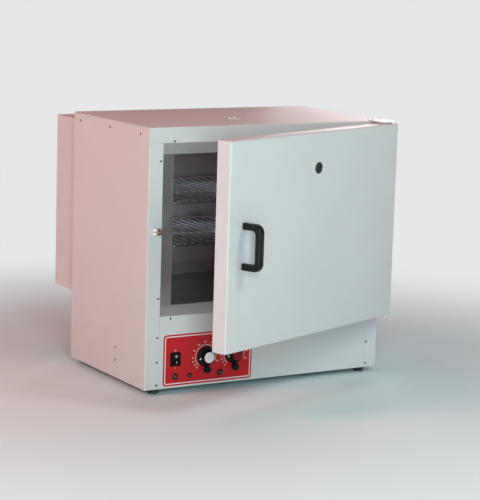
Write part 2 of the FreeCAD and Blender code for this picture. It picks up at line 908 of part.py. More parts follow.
def shelf_wires(height):
    """Lengthwise wires of a shelf, which rest on its frame and turn up behind it."""
    x0, x1 = shelf_sides()
    count = int((x1 - x0 - 2 * shelf_corner) / shelf_wire_pitch) + 1
    first = (x0 + x1) / 2 - (count - 1) * shelf_wire_pitch / 2
    return group([shelf_wire(first + number * shelf_wire_pitch, height) for number in range(count)])


def shelf_wire(x, height):
    """One lengthwise wire."""
    z = shelf_wire_z(height)
    b = shelf_wire_bend
    k = b * math.sqrt(0.5)
    riser = shelf_y1 + b
    start = V(x, shelf_y0 - shelf_wire_radius, z)
    turn = [V(x, shelf_y1, z), V(x, shelf_y1 + k, z + b - k), V(x, riser, z + b)]
    tip = V(x, riser, bottom + height + shelf_back_rise + shelf_wire_radius)
    path = Part.Wire([Part.LineSegment(start, turn[0]).toShape(), Part.Arc(*turn).toShape(),
                      Part.LineSegment(turn[2], tip).toShape()])
    section = Part.Face(Part.Wire([Part.Circle(start, Y_AXIS, shelf_wire_radius).toShape()]))
    return path.makePipe(section)


def shelf_bars(height):
    """Two bars of a shelf: one under the middle of its wires, one across their turned-up ends."""
    x0, x1 = shelf_sides()
    under = shelf_wire_z(height) - shelf_wire_radius - shelf_cross_radius
    inner = x0 + shelf_frame_radius
    lower = rod(shelf_cross_radius, V(inner, (shelf_y0 + shelf_y1) / 2, under), X_AXIS,
                x1 - shelf_frame_radius - inner)
    y = shelf_y1 + shelf_wire_bend - shelf_wire_radius - shelf_cross_radius
    start = x0 + shelf_corner
    upper = rod(shelf_cross_radius, V(start, y, bottom + height + shelf_back_rise), X_AXIS,
                x1 - shelf_corner - start)
    return group([lower, upper])


def shelf_runners():
    """Four angle runners on the chamber's side walls."""
    strips = []
    for height in (upper_shelf_height, lower_shelf_height):
        z = bottom + height - shelf_frame_radius - runner_gap
        ledge = box(liner_left, liner_left + runner_width, shelf_y0, shelf_y1, z - runner_sheet, z)
        web = box(liner_left, liner_left + runner_sheet, shelf_y0, shelf_y1, z - runner_height, z)
        strip = join([ledge, web])
        strips += [strip, mirrored(strip)]
    return group(strips)


def rubber_feet():
    """Four tapered rubber feet with a screw recess below."""
    feet = []
    for x in (left + foot_inset_x, right - foot_inset_x):
        for y in (front + foot_inset_y, back - foot_inset_y):
            foot = Part.makeCone(foot_radius - foot_taper, foot_radius, foot_height, V(x, y, 0), Z_AXIS)
            feet.append(foot.cut(rod(foot_recess_radius, V(x, y, -1), Z_AXIS, foot_recess_depth + 1)))
    return group(feet)


def door_shell():
    """Folded outer pan of the door, as its flat face, bent edge, four walls and the lip behind."""
    outer = box(door_left, door_right, door_face, door_back, door_low, door_high)
    corners = edges_on(outer, y=door_face)
    for x in (door_left, door_right):
        corners += edges_on(outer, x=x, z=door_low) + edges_on(outer, x=x, z=door_high)
    hollow = box(door_left + sheet, door_right - sheet, door_face + sheet, door_back - sheet,
                 door_low + sheet, door_high - sheet)
    inner = edges_on(hollow, y=door_face + sheet)
    for x in (door_left + sheet, door_right - sheet):
        inner += edges_on(hollow, x=x, z=door_low + sheet) + edges_on(hollow, x=x, z=door_high - sheet)
    hollow = hollow.makeFillet(door_edge_radius - sheet, inner)
    shell = outer.makeFillet(door_edge_radius, corners).cut(hollow)
    window = box(door_left + door_lip, door_right - door_lip, door_back - 2 * sheet, door_back + 1,
                 door_low + door_lip, door_high - door_lip)
    cuts = [window, rod(plug_stem_radius, plug_place() - Y_AXIS, Y_AXIS, sheet + 2)]
    for place in handle_feet():
        cuts.append(rod(handle_screw_radius + handle_screw_clearance, place - Y_AXIS, Y_AXIS, sheet + 2))
    for z in (door_low - 1, door_high - sheet - 1):
        cuts.append(rod(bush_radius, V(pivot.x, pivot.y, z), Z_AXIS, sheet + 2))
    shell = cut_all(shell, cuts)
    bend = door_face + door_edge_radius
    flat = box(door_left + door_edge_radius, door_right - door_edge_radius, door_face - 1, bend,
               door_low + door_edge_radius, door_high - door_edge_radius)
    front_part, walls, lip = (
        shell.common(box(door_left - 1, door_right + 1, y0, y1, door_low - 1, door_high + 1))
        for y0, y1 in ((door_face - 1, bend), (bend, door_back - sheet), (door_back - sheet, door_back + 1)))
    return group([front_part.common(flat), front_part.cut(flat), walls, lip])


def door_inner_pan():
    """Raised inner pan of the door, with a flange against the outer pan's lip."""
    t = pan_sheet
    raised = box(pan_left, pan_right, door_back, pan_face, pan_low, pan_high)
    raised = raised.makeFillet(bend_radius, edges_on(raised, y=pan_face))
    flange = box(pan_left - pan_flange, pan_right + pan_flange, door_back, door_back + t,
                 pan_low - pan_flange, pan_high + pan_flange)
    hollow = box(pan_left + t, pan_right - t, door_back - 1, pan_face - t, pan_low + t, pan_high - t)
    return join([raised, flange]).cut(hollow)


def door_seal():
    """Rubber seal with a rounded nose round the inner pan's face."""
    nose = trim_face - seal_clearance
    i = seal_inset
    w = seal_width
    ring = box(pan_left + i, pan_right - i, pan_face, nose, pan_low + i, pan_high - i)
    ring = ring.cut(box(pan_left + i + w, pan_right - i - w, pan_face - 1, nose + 1,
                        pan_low + i + w, pan_high - i - w))
    return ring.makeFillet(seal_nose, edges_on(ring, y=nose))


def door_insulation():
    """Mineral wool block inside the door, rounded like the pan at its long corners."""
    gap = sheet + block_gap
    x0, x1 = door_left + gap, pivot.x - bush_flange_radius - gap
    z0, z1 = door_low + gap, door_high - gap
    block = box(x0, x1, door_face + sheet + filling_front_gap, door_back - sheet, z0, z1)
    corners = []
    for x in (x0, x1):
        corners += edges_on(block, x=x, z=z0) + edges_on(block, x=x, z=z1)
    return block.makeFillet(door_edge_radius, corners)


def plug_place():
    """The point on the door's face under the middle of the plug."""
    return V(door_right - plug_from_hinge, door_face, door_high - plug_drop)


def door_plug():
    """Domed rubber plug that closes the door's port."""
    rim = rod(plug_radius, V(0, 0, 0), Z_AXIS, plug_rim)
    crown = dome(plug_radius, plug_rise)
    crown.translate(V(0, 0, plug_rim))
    stem = rod(plug_stem_radius, V(0, 0, -plug_stem_length), Z_AXIS, plug_stem_length)
    return facing(join([rim, crown, stem]), plug_place(), -Y_AXIS)


def handle_feet():
    """The points on the door's face under the middle of the handle's two legs."""
    x = door_left + handle_from_edge
    return [V(x, door_face, door_low + handle_rise + side * handle_centres / 2) for side in (-1, 1)]


def door_handle():
    """Bow handle: one bar on two legs, with rounded corners."""
    x0 = door_left + handle_from_edge - handle_width / 2
    x1 = x0 + handle_width
    middle = door_low + handle_rise
    half = (handle_centres + handle_leg) / 2
    inner = (handle_centres - handle_leg) / 2
    reach = door_face - handle_reach
    bow = box(x0, x1, reach, door_face, middle - half, middle + half)
    ends = edges_on(bow, y=reach, z=middle - half) + edges_on(bow, y=reach, z=middle + half)
    bow = bow.makeFillet(handle_corner, ends)
    gap = box(x0 - 1, x1 + 1, reach + handle_bar, door_face + 1, middle - inner, middle + inner)
    ends = edges_on(gap, y=reach + handle_bar, z=middle - inner)
    ends += edges_on(gap, y=reach + handle_bar, z=middle + inner)
    bow = bow.cut(gap.makeFillet(handle_inner_corner, ends))
    bow = bow.makeFillet(handle_edge, edges_on(bow, x=x0) + edges_on(bow, x=x1))
    bores = [rod(handle_screw_radius + handle_screw_clearance, place + Y_AXIS, -Y_AXIS,
                 handle_screw_length + 1 + seam) for place in handle_feet()]
    return cut_all(bow, bores)


def handle_screws():
    """Two screws from inside the door into the handle's legs."""
    seats = [place + Y_AXIS * sheet for place in handle_feet()]
    return group([pan_screw(seat, Y_AXIS, head=handle_screw_radius * 1.8, rise=handle_screw_radius,
                            shank=handle_screw_radius, length=handle_screw_length + sheet)
                  for seat in seats])


def hinge_plate_x():
    """The two sides of the hinge plates."""
    return right - hinge_plate_width, right


def hinge_plate_top():
    """Flat plate on the lid that reaches over the door."""
    x0, x1 = hinge_plate_x()
    y0 = front - hinge_plate_front
    y1 = front + hinge_plate_on_case
    plate = box(x0, x1, y0, y1, top, top + hinge_plate_sheet)
    corners = []
    for x in (x0, x1):
        for y in (y0, y1):
            corners += edges_on(plate, x=x, y=y)
    plate = plate.makeFillet(hinge_corner, corners)
    bore = rod(pin_radius, V(pivot.x, pivot.y, top - 1), Z_AXIS, hinge_plate_sheet + 2)
    return cut_all(plate, holes(hinge_spots()) + [bore])


def lower_plate_top():
    """Height of the lower hinge plate's upper face."""
    return door_low - door_top_gap


def hinge_plate_bottom():
    """Plate under the door with a leg up the front of the case."""
    x0, x1 = hinge_plate_x()
    high = lower_plate_top()
    low = high - hinge_plate_sheet
    plate = box(x0, x1, front - hinge_plate_front, front, low, high)
    leg = box(x0, x1, front - hinge_plate_sheet, front, low, low + hinge_leg_height)
    corners = []
    for x in (x0, x1):
        corners += edges_on(plate, x=x, y=front - hinge_plate_front)
    bracket = join([plate.makeFillet(hinge_corner, corners), leg])
    bore = rod(pin_radius, V(pivot.x, pivot.y, low - 1), Z_AXIS, hinge_plate_sheet + 2)
    return cut_all(bracket, holes(hinge_spots()) + [bore])


def hinge_spots():
    """Seats of the screws that hold the two hinge plates."""
    middle = sum(hinge_plate_x()) / 2
    spots = []
    for side in (-1, 1):
        x = middle + side * hinge_screw_spacing / 2
        spots.append((V(x, front + hinge_plate_on_case / 2, top + hinge_plate_sheet), Z_AXIS))
        leg_z = lower_plate_top() - hinge_plate_sheet + hinge_leg_height * 0.65
        spots.append((V(x, front - hinge_plate_sheet, leg_z), -Y_AXIS))
    return spots


def hinge_screws():
    """Four screws that hold the hinge plates."""
    return group([pan_screw(seat, outward, head=hinge_screw_radius, rise=hinge_screw_radius / 2)
                  for seat, outward in hinge_spots()])


def hinge_pins():
    """Two steel pins pressed into the hinge plates."""
    upper = rod(pin_radius, V(pivot.x, pivot.y, top + hinge_plate_sheet - pin_length), Z_AXIS, pin_length)
    start = lower_plate_top() - hinge_plate_sheet
    lower = rod(pin_radius, V(pivot.x, pivot.y, start), Z_AXIS, pin_length)
    return group([upper, lower])


def hinge_bushes():
    """Two flanged brass bushes in the door's top and bottom edges."""
    flange_height = door_top_gap - bush_gap
    bushes = []
    for z, outward in ((door_high, Z_AXIS), (door_low, -Z_AXIS)):
        seat = V(pivot.x, pivot.y, z)
        flange = rod(bush_flange_radius, seat, outward, flange_height)
        sleeve = rod(bush_radius, seat, outward * -1.0, bush_length)
        bore = rod(pin_radius + pin_clearance, seat + outward * 5.0, outward * -1.0,
                   bush_length + door_top_gap + pin_length)
        bushes.append(join([flange, sleeve]).cut(bore))
    return group(bushes)


def catch_screw_spots():
    """Seats of the catch's two screws in the stile."""
    reach = (catch_width + catch_plate_width) / 4
    seat = V(catch_axis_x, front - catch_sheet, catch_axis_z)
    return [(seat + X_AXIS * side * reach, -Y_AXIS) for side in (-1, 1)]


def roller_place(side):
    """Middle of the upper or lower catch roller's left end."""
    return V(catch_axis_x - roller_length / 2, front - roller_reach, catch_axis_z + side * roller_offset)


def catch_body():
    """Catch: base plate, two cheeks and the two roller pins."""
    x = catch_axis_x
    z = catch_axis_z
    plate = box(x - catch_plate_width / 2, x + catch_plate_width / 2, front - catch_sheet, front,
                z - catch_plate_height / 2, z + catch_plate_height / 2)
    pieces = [plate]
    for side in (-1, 1):
        outer = x + side * catch_width / 2
        inner = outer - side * catch_sheet
        cheek = box(min(outer, inner), max(outer, inner), front - catch_reach, front,
                    z - catch_cheek_height / 2, z + catch_cheek_height / 2)
        pieces.append(cheek)
        pin_start = roller_place(side) - X_AXIS * (catch_width - roller_length) / 2
        pieces.append(rod(roller_pin_radius, pin_start, X_AXIS, catch_width))
    return cut_all(join(pieces), holes(catch_screw_spots()))


def catch_roller(side):
    """One copper roller, free on its pin."""
    place = roller_place(side)
    roller = rod(roller_radius, place, X_AXIS, roller_length)
    ends = edges_on(roller, x=place.x) + edges_on(roller, x=place.x + roller_length)
    roller = roller.makeFillet(knob_edge, ends)
    return roller.cut(rod(roller_pin_radius + roller_clearance, place - X_AXIS, X_AXIS, roller_length + 2))


def catch_tongue():
    """Tongue on the door's lip that enters between the rollers."""
    x = catch_axis_x
    z = catch_axis_z
    half = tongue_base_width / 2
    base = box(x - half, x + half, door_back, door_back + tongue_base_sheet,
               z - tongue_base_height / 2, z + tongue_base_height / 2)
    blade = box(x - tongue_width / 2, x + tongue_width / 2, door_back, door_back + tongue_length,
                z - tongue_thickness / 2, z + tongue_thickness / 2)
    return join([base, blade])


def switch_body():
    """Snap-in switch housing with a bezel, a hollow for the rocker and three blades."""
    x = left + switch_x
    z = bottom + switch_z
    w = switch_window_width / 2
    h = switch_window_height / 2
    bezel_face = label_face - switch_bezel
    bezel = box(x - switch_width / 2, x + switch_width / 2, bezel_face, label_face,
                z - switch_height / 2, z + switch_height / 2)
    bezel = bezel.makeFillet(knob_edge, edges_on(bezel, y=bezel_face))
    housing = box(x - w - switch_wall, x + w + switch_wall, label_face, label_face + switch_depth,
                  z - h - switch_wall, z + h + switch_wall)
    blades = [box(x - 3.15, x + 3.15, label_face + switch_depth, label_face + switch_depth + 8,
                  z + step - 0.4, z + step + 0.4) for step in (-8.0, 0.0, 8.0)]
    body = join([bezel, housing] + blades)
    hollow = box(x - w, x + w, bezel_face - 1, label_face + switch_hollow, z - h, z + h)
    bearings = rod(rocker_axle_radius + rocker_axle_clearance, V(x - w - switch_wall, label_face, z),
                   X_AXIS, 2 * (w + switch_wall))
    return cut_all(body, [hollow, bearings])


def switch_rocker():
    """Rocker with two sloping faces, round-ended about its axle, tipped to one side."""
    x0 = left + switch_x - switch_window_width / 2 + rocker_gap
    x1 = left + switch_x + switch_window_width / 2 - rocker_gap
    z = bottom + switch_z
    rear = math.sqrt(rocker_radius ** 2 - rocker_back ** 2)
    fore = math.sqrt(rocker_radius ** 2 - rocker_front ** 2)
    points = [V(x0, label_face + rocker_back, z + rear), V(x0, label_face - rocker_front, z + fore),
              V(x0, label_face - rocker_dip, z), V(x0, label_face - rocker_front, z - fore),
              V(x0, label_face + rocker_back, z - rear)]
    edges = [Part.Arc(points[0], V(x0, label_face, z + rocker_radius), points[1]).toShape(),
             Part.LineSegment(points[1], points[2]).toShape(),
             Part.LineSegment(points[2], points[3]).toShape(),
             Part.Arc(points[3], V(x0, label_face, z - rocker_radius), points[4]).toShape(),
             Part.LineSegment(points[4], points[0]).toShape()]
    body = Part.Face(Part.Wire(edges)).extrude(V(x1 - x0, 0, 0))
    reach = switch_wall + rocker_gap
    axle = rod(rocker_axle_radius, V(x0 - reach, label_face, z), X_AXIS, x1 - x0 + 2 * reach)
    rocker = join([body, axle])
    rocker.rotate(V(0, label_face, z), X_AXIS, -rocker_tilt)
    return rocker


def knob(x):
    """Round skirt with a round grip, bored for its spindle."""
    place = knob_place(x)
    skirt = rod(skirt_radius, V(place.x, skirt_front, place.z), Y_AXIS, skirt_thickness)
    skirt = skirt.makeFillet(knob_edge, edges_on(skirt, y=skirt_front))
    grip = rod(grip_radius, V(place.x, grip_front, place.z), Y_AXIS, grip_length)
    grip = grip.makeFillet(knob_edge, edges_on(grip, y=grip_front))
    bore = rod(spindle_radius, V(place.x, skirt_back + 1, place.z), -Y_AXIS, spindle_in_knob + 1)
    return join([skirt, grip]).cut(bore)


def knob_cap(x):
    """Bright disc on the front of a knob."""
    place = knob_place(x)
    cap = rod(cap_radius, V(place.x, grip_front, place.z), -Y_AXIS, cap_thickness)
    return cap.makeFillet(knob_edge, edges_on(cap, y=grip_front - cap_thickness))


def spindle(x):
    """Steel spindle from a knob into its thermostat."""
    place = knob_place(x)
    start = V(place.x, skirt_back - spindle_in_knob, place.z)
    return rod(spindle_radius, start, Y_AXIS, front + sheet + spindle_in_body - start.y)


def thermostat(x):
    """Boxed thermostat behind the panel with a round neck, bored for its spindle."""
    place = knob_place(x)
    rear = front + sheet
    half = thermostat_width / 2
    body = box(place.x - half, place.x + half, rear, rear + thermostat_depth,
               place.z - thermostat_height / 2, place.z + thermostat_height / 2)
    neck_start = V(place.x, label_face - skirt_gap / 2, place.z)
    neck = rod(neck_radius, neck_start, Y_AXIS, rear - label_face + skirt_gap)
    bore = rod(spindle_radius + spindle_clearance, V(place.x, skirt_back, place.z), Y_AXIS,
               rear + spindle_in_body + seam - skirt_back)
    return join([body, neck]).cut(bore)


def thermostat_bodies():
    """Both thermostats, and their two sensing bulbs clipped behind the baffle."""
    pieces = [thermostat(thermostat_x), thermostat(limit_x)]
    y = liner_back - bulb_radius - bulb_radius
    for number in range(2):
        x = fan_axis_x - heater_ring_radius - bulb_inset - number * bulb_pitch
        bulb = rod(bulb_radius, V(x, y, fan_axis_z - bulb_length / 2), Z_AXIS, bulb_length)
        clip = box(x - bulb_radius, x + bulb_radius, y, liner_back, fan_axis_z - bulb_radius,
                   fan_axis_z + bulb_radius)
        pieces.append(join([bulb, clip]))
    return group(pieces)


def lock_place(x):
    """The point on the label's face behind a dial lock's screw."""
    return knob_place(x) - Z_AXIS * lock_drop


def dial_lock_plates():
    """Two small clamps that reach over the rims of the knobs' skirts."""
    clamps = []
    for x in (thermostat_x, limit_x):
        place = lock_place(x)
        boss = rod(lock_boss_radius, place, -Y_AXIS, label_face - lock_under)
        plate = box(place.x - lock_plate_width / 2, place.x + lock_plate_width / 2, lock_front, lock_under,
                    place.z - lock_plate_down, place.z + lock_plate_up)
        bore = rod(lock_screw_radius + lock_screw_clearance, place + Y_AXIS, -Y_AXIS,
                   label_face - lock_front + 2)
        clamps.append(join([boss, plate]).cut(bore))
    return group(clamps)


def lock_screw(x):
    """Knurled thumbscrew of a dial lock."""
    place = lock_place(x)
    seat = V(place.x, lock_front - lock_gap / 2, place.z)
    head = rod(lock_head_radius, seat, -Y_AXIS, lock_head_length)
    head = head.makeFillet(knob_edge, edges_on(head, y=seat.y - lock_head_length))
    shank = rod(lock_screw_radius, seat, Y_AXIS, front + sheet + lock_screw_tail - seat.y)
    return join([head, shank])


def lamp_bezels():
    """Rim and barrel of each of the three lamps."""
    bezels = []
    for x, radius in lamp_sizes():
        place = lamp_place(x)
        rim = rod(radius, place, -Y_AXIS, lamp_rim_height)
        rim = rim.makeFillet(knob_edge, edges_on(rim, y=label_face - lamp_rim_height))
        barrel = rod(radius - lamp_barrel_step, place, Y_AXIS, lamp_barrel_length)
        seat = rod(radius - lamp_rim, place, -Y_AXIS, lamp_rim_height + 1)
        bezels.append(join([rim, barrel]).cut(seat))
    return group(bezels)


def lamp_lens(x, radius):
    """Domed lens that fills a lamp's rim."""
    inner = radius - lamp_rim
    base = rod(inner, V(0, 0, 0), Z_AXIS, lamp_rim_height)
    crown = dome(inner, lamp_dome)
    crown.translate(V(0, 0, lamp_rim_height))
    return facing(join([base, crown]), lamp_place(x), -Y_AXIS)


def vent_tube():
    """Tube from the chamber's roof to the lid."""
    base = V(vent_axis_x, vent_axis_y, liner_high + liner_sheet)
    length = lid_low - base.z
    return rod(vent_tube_radius, base, Z_AXIS, length).cut(
        rod(vent_tube_radius - vent_tube_wall, base - Z_AXIS, Z_AXIS, length + 2))


def vent_damper():
    """Turning disc with two air holes and a finger tab."""
    base = V(vent_axis_x, vent_axis_y, top + damper_gap)
    disc = rod(damper_radius, base, Z_AXIS, damper_sheet)
    tab = box(base.x - damper_radius + damper_sheet, base.x - damper_radius + 2 * damper_sheet,
              base.y - damper_tab_width / 2, base.y + damper_tab_width / 2,
              base.z, base.z + damper_sheet + damper_tab_height)
    air = vent_holes()[0]
    bore = rod(damper_bore_radius + damper_clearance, base - Z_AXIS, Z_AXIS, damper_sheet + 2)
    return cut_all(join([disc, tab]), air + [bore])


def vent_screw():
    """Shouldered screw on which the damper turns."""
    seat = V(vent_axis_x, vent_axis_y, vent_screw_seat)
    head = facing(dome(vent_screw_head, vent_screw_rise), seat, Z_AXIS)
    shoulder = rod(damper_bore_radius, V(seat.x, seat.y, top), Z_AXIS, seat.z - top)
    thread = rod(vent_screw_thread, V(seat.x, seat.y, top - vent_screw_length), Z_AXIS, vent_screw_length)
    return join([head, shoulder, thread])


def gland_place():
    """The point on the rear panel's face at the middle of the cable gland."""
    return V(right - gland_x, back, bottom + gland_z)


def cable_gland():
    """Six-sided cable gland with a round nose, and its nut inside the panel."""
    turns = [math.radians(turn) for turn in range(0, 361, 60)]
    corners = [V(gland_radius * math.cos(turn), gland_radius * math.sin(turn), 0) for turn in turns]
    hexagon = Part.Face(Part.makePolygon(corners))
    hexagon_body = hexagon.extrude(V(0, 0, gland_hex))
    nut = hexagon.extrude(V(0, 0, -gland_hex))
    nut.translate(V(0, 0, -sheet))
    thread = rod(gland_thread_radius, V(0, 0, -sheet - gland_hex), Z_AXIS, sheet + gland_hex)
    nose = Part.makeCone(gland_radius * 0.86, gland_radius * 0.66, gland_length - gland_hex,
                         V(0, 0, gland_hex), Z_AXIS)
    bore = rod(gland_bore_radius, V(0, 0, -sheet - gland_hex - 1), Z_AXIS,
               gland_length + sheet + gland_hex + 2)
    return facing(join([hexagon_body, nut, thread, nose]).cut(bore), gland_place(), Y_AXIS)


def case_screws():
    """All the panel screws of the case, the rear cover and the catch."""
    spots = front_spots() + side_spots() + rear_spots() + cover_spots()
    screws = [pan_screw(seat, outward) for seat, outward in spots]
    screws += [pan_screw(seat, outward, head=catch_screw_radius, rise=catch_screw_radius / 2)
               for seat, outward in catch_screw_spots()]
    return group(screws)


def save(name, shape):
    """Write one node's file and print its size."""
    shape.exportStep("parts/" + name + ".step")
    bound = shape.BoundBox
    print(f"{name}: {len(shape.Solids)} solids, {shape.Volume / 1000:.1f} cm3,"
          f" x {bound.XMin:.1f} to {bound.XMax:.1f}, y {bound.YMin:.1f} to {bound.YMax:.1f},"
          f" z {bound.ZMin:.1f} to {bound.ZMax:.1f}, valid {shape.isValid()}")


def case_nodes():
    """The nodes of the case and the chamber."""
    return {"side_panel_left": side_panel_left(), "side_panel_right": side_panel_right(),
            "top_panel": top_panel(), "base_panel": base_panel(), "rear_panel": rear_panel(),
            "rear_cover": rear_cover(), "lower_front_panel": lower_front_panel(),
            "chamber_ceiling": chamber_ceiling(), "chamber_floor": chamber_floor(),
            "chamber_walls": chamber_walls(), "chamber_back": chamber_back(), "trim_top": trim_top(),
            "trim_bottom": trim_bottom(), "trim_sides": trim_sides(), "divider_panel": divider_panel(),
            "chamber_insulation": chamber_insulation(), "rear_baffle": rear_baffle(),
            "shelf_runners": shelf_runners(), "rubber_feet": rubber_feet(), "vent_tube": vent_tube(),
            "vent_damper": vent_damper(), "vent_screw": vent_screw(), "cable_gland": cable_gland(),
            "case_screws": case_screws()}


def inner_nodes():
    """The nodes of the shelves, the fan and the heating."""
    nodes = {"fan_motor": fan_motor(), "fan_shaft": fan_shaft(), "fan_impeller": fan_impeller(),
             "heater_element": heater_element()}
    for name, height in (("shelf_upper", upper_shelf_height), ("shelf_lower", lower_shelf_height)):
        nodes[name + "_frame"] = shelf_frame(height)
        nodes[name + "_wires"] = shelf_wires(height)
        nodes[name + "_bars"] = shelf_bars(height)
    return nodes


def door_nodes():
    """The nodes that swing with the door."""
    closed = {"door_shell": door_shell(), "door_inner_pan": door_inner_pan(), "door_seal": door_seal(),
              "door_insulation": door_insulation(), "door_handle": door_handle(),
              "handle_screws": handle_screws(), "door_plug": door_plug(), "hinge_bushes": hinge_bushes(),
              "catch_tongue": catch_tongue()}
    return {name: swung(shape) for name, shape in closed.items()}


def hinge_nodes():
    """The fixed nodes of the hinges and the catch."""
    return {"hinge_plate_top": hinge_plate_top(), "hinge_plate_bottom": hinge_plate_bottom(),
            "hinge_pins": hinge_pins(), "hinge_screws": hinge_screws(), "catch_body": catch_body(),
            "catch_roller_upper": catch_roller(1), "catch_roller_lower": catch_roller(-1)}


def control_nodes():
    """The nodes of the control panel."""
    nodes = {"control_label": control_label(), "switch_body": switch_body(),
             "switch_rocker": switch_rocker(), "thermostat_bodies": thermostat_bodies(),
             "dial_lock_plates": dial_lock_plates(), "lamp_bezels": lamp_bezels()}
    for name, x in (("thermostat", thermostat_x), ("limit", limit_x)):
        nodes[name + "_knob"] = knob(x)
        nodes[name + "_knob_cap"] = knob_cap(x)
        nodes[name + "_spindle"] = spindle(x)
        nodes[name + "_lock_screw"] = lock_screw(x)
    for name, (x, radius) in zip(("lamp_green", "lamp_amber", "lamp_red"), lamp_sizes()):
        nodes[name] = lamp_lens(x, radius)
    return nodes


def main():
    """Write every node of the oven."""
    os.makedirs("parts", exist_ok=True)
    for nodes in (case_nodes(), inner_nodes(), door_nodes(), hinge_nodes(), control_nodes()):
        for name, shape in nodes.items():
            save(name, shape)


main()
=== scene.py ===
"""Looks of a benchtop drying oven with its door ajar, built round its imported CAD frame."""

import logging
import math
from collections.abc import Mapping, Sequence
from dataclasses import dataclass, field
from enum import Enum
from typing import ClassVar

import bmesh
import bpy
from mathutils import Matrix, Vector


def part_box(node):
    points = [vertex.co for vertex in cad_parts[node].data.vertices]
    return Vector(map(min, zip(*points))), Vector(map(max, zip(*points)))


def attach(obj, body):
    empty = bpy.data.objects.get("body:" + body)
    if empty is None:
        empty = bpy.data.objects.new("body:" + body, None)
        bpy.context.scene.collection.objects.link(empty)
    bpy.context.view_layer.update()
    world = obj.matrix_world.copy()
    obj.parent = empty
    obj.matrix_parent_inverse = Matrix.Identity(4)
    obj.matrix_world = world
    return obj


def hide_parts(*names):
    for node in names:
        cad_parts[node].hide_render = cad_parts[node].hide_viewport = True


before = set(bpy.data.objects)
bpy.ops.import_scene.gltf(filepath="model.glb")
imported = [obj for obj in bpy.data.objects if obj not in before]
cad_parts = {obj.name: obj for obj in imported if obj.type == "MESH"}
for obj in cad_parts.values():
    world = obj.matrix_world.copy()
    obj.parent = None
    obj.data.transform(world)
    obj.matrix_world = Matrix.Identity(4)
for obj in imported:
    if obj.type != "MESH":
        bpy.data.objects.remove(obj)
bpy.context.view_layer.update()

log = logging.getLogger("drying_oven")

MM = 0.001
Triple = tuple[float, float, float]
Colour = Triple
Point = tuple[float, float]

CORNER_STEPS = 8
RING_STEPS = 24


class Axis(Enum):
    """A direction of the row frame."""

    X = 0
    Y = 1
    Z = 2


class Body(str, Enum):
    """A body of the CAD frame that pieces ride on."""

    CASE = "case"
    THERMOSTAT_DIAL = "thermostat_dial"
    LIMIT_DIAL = "limit_dial"
    ROCKER = "rocker"
    THERMOSTAT_LOCK = "thermostat_lock"
    LIMIT_LOCK = "limit_lock"


def tone(colour: Colour, factor: float) -> Colour:
    """A lighter or darker copy of a colour."""
    return tuple(min(1.0, channel * factor) for channel in colour)


class Signal:
    """The output of a shader node, used in sums as if it were a number."""

    def __init__(self, graph: "Graph", socket: bpy.types.NodeSocket) -> None:
        """Wrap a node's output.

        Args:
            graph: The node tree that the node is in.
            socket: The node's output.
        """
        self.graph = graph
        self.socket = socket

    def _sum(self, operation: str, first: "Value", second: "Value") -> "Signal":
        """Add a Math node.

        Args:
            operation: The Math node's operation.
            first: Its first value.
            second: Its second value.

        Returns:
            The Math node's output.
        """
        return self.graph.add("ShaderNodeMath", {"operation": operation}, {0: first, 1: second})

    def __add__(self, other: "Value") -> "Signal":
        """This plus another value."""
        return self._sum("ADD", self, other)

    def __radd__(self, other: "Value") -> "Signal":
        """Another value plus this."""
        return self._sum("ADD", other, self)

    def __sub__(self, other: "Value") -> "Signal":
        """This less another value."""
        return self._sum("SUBTRACT", self, other)

    def __rsub__(self, other: "Value") -> "Signal":
        """Another value less this."""
        return self._sum("SUBTRACT", other, self)

    def __mul__(self, other: "Value") -> "Signal":
        """This times another value."""
        return self._sum("MULTIPLY", self, other)

    def __rmul__(self, other: "Value") -> "Signal":
        """Another value times this."""
        return self._sum("MULTIPLY", other, self)

    def __pow__(self, other: "Value") -> "Signal":
        """This to a power."""
        return self._sum("POWER", self, other)

    def __rpow__(self, other: "Value") -> "Signal":
        """Another value to the power of this."""
        return self._sum("POWER", other, self)

    def wave(self) -> "Signal":
        """The sine of this, moved to between 0 and 1."""
        return self._sum("SINE", self, 0.0) * 0.5 + 0.5

    def between(self, low: float, high: float) -> "Signal":
        """A soft step over a range of this.

        Args:
            low: Where the step starts from 0.
            high: Where it reaches 1.

        Returns:
            The step's output.
        """
        return self.graph.add("ShaderNodeMapRange", {"interpolation_type": "SMOOTHSTEP"},
                              {"Value": self, "From Min": low, "From Max": high})


Value = Signal | float | Colour


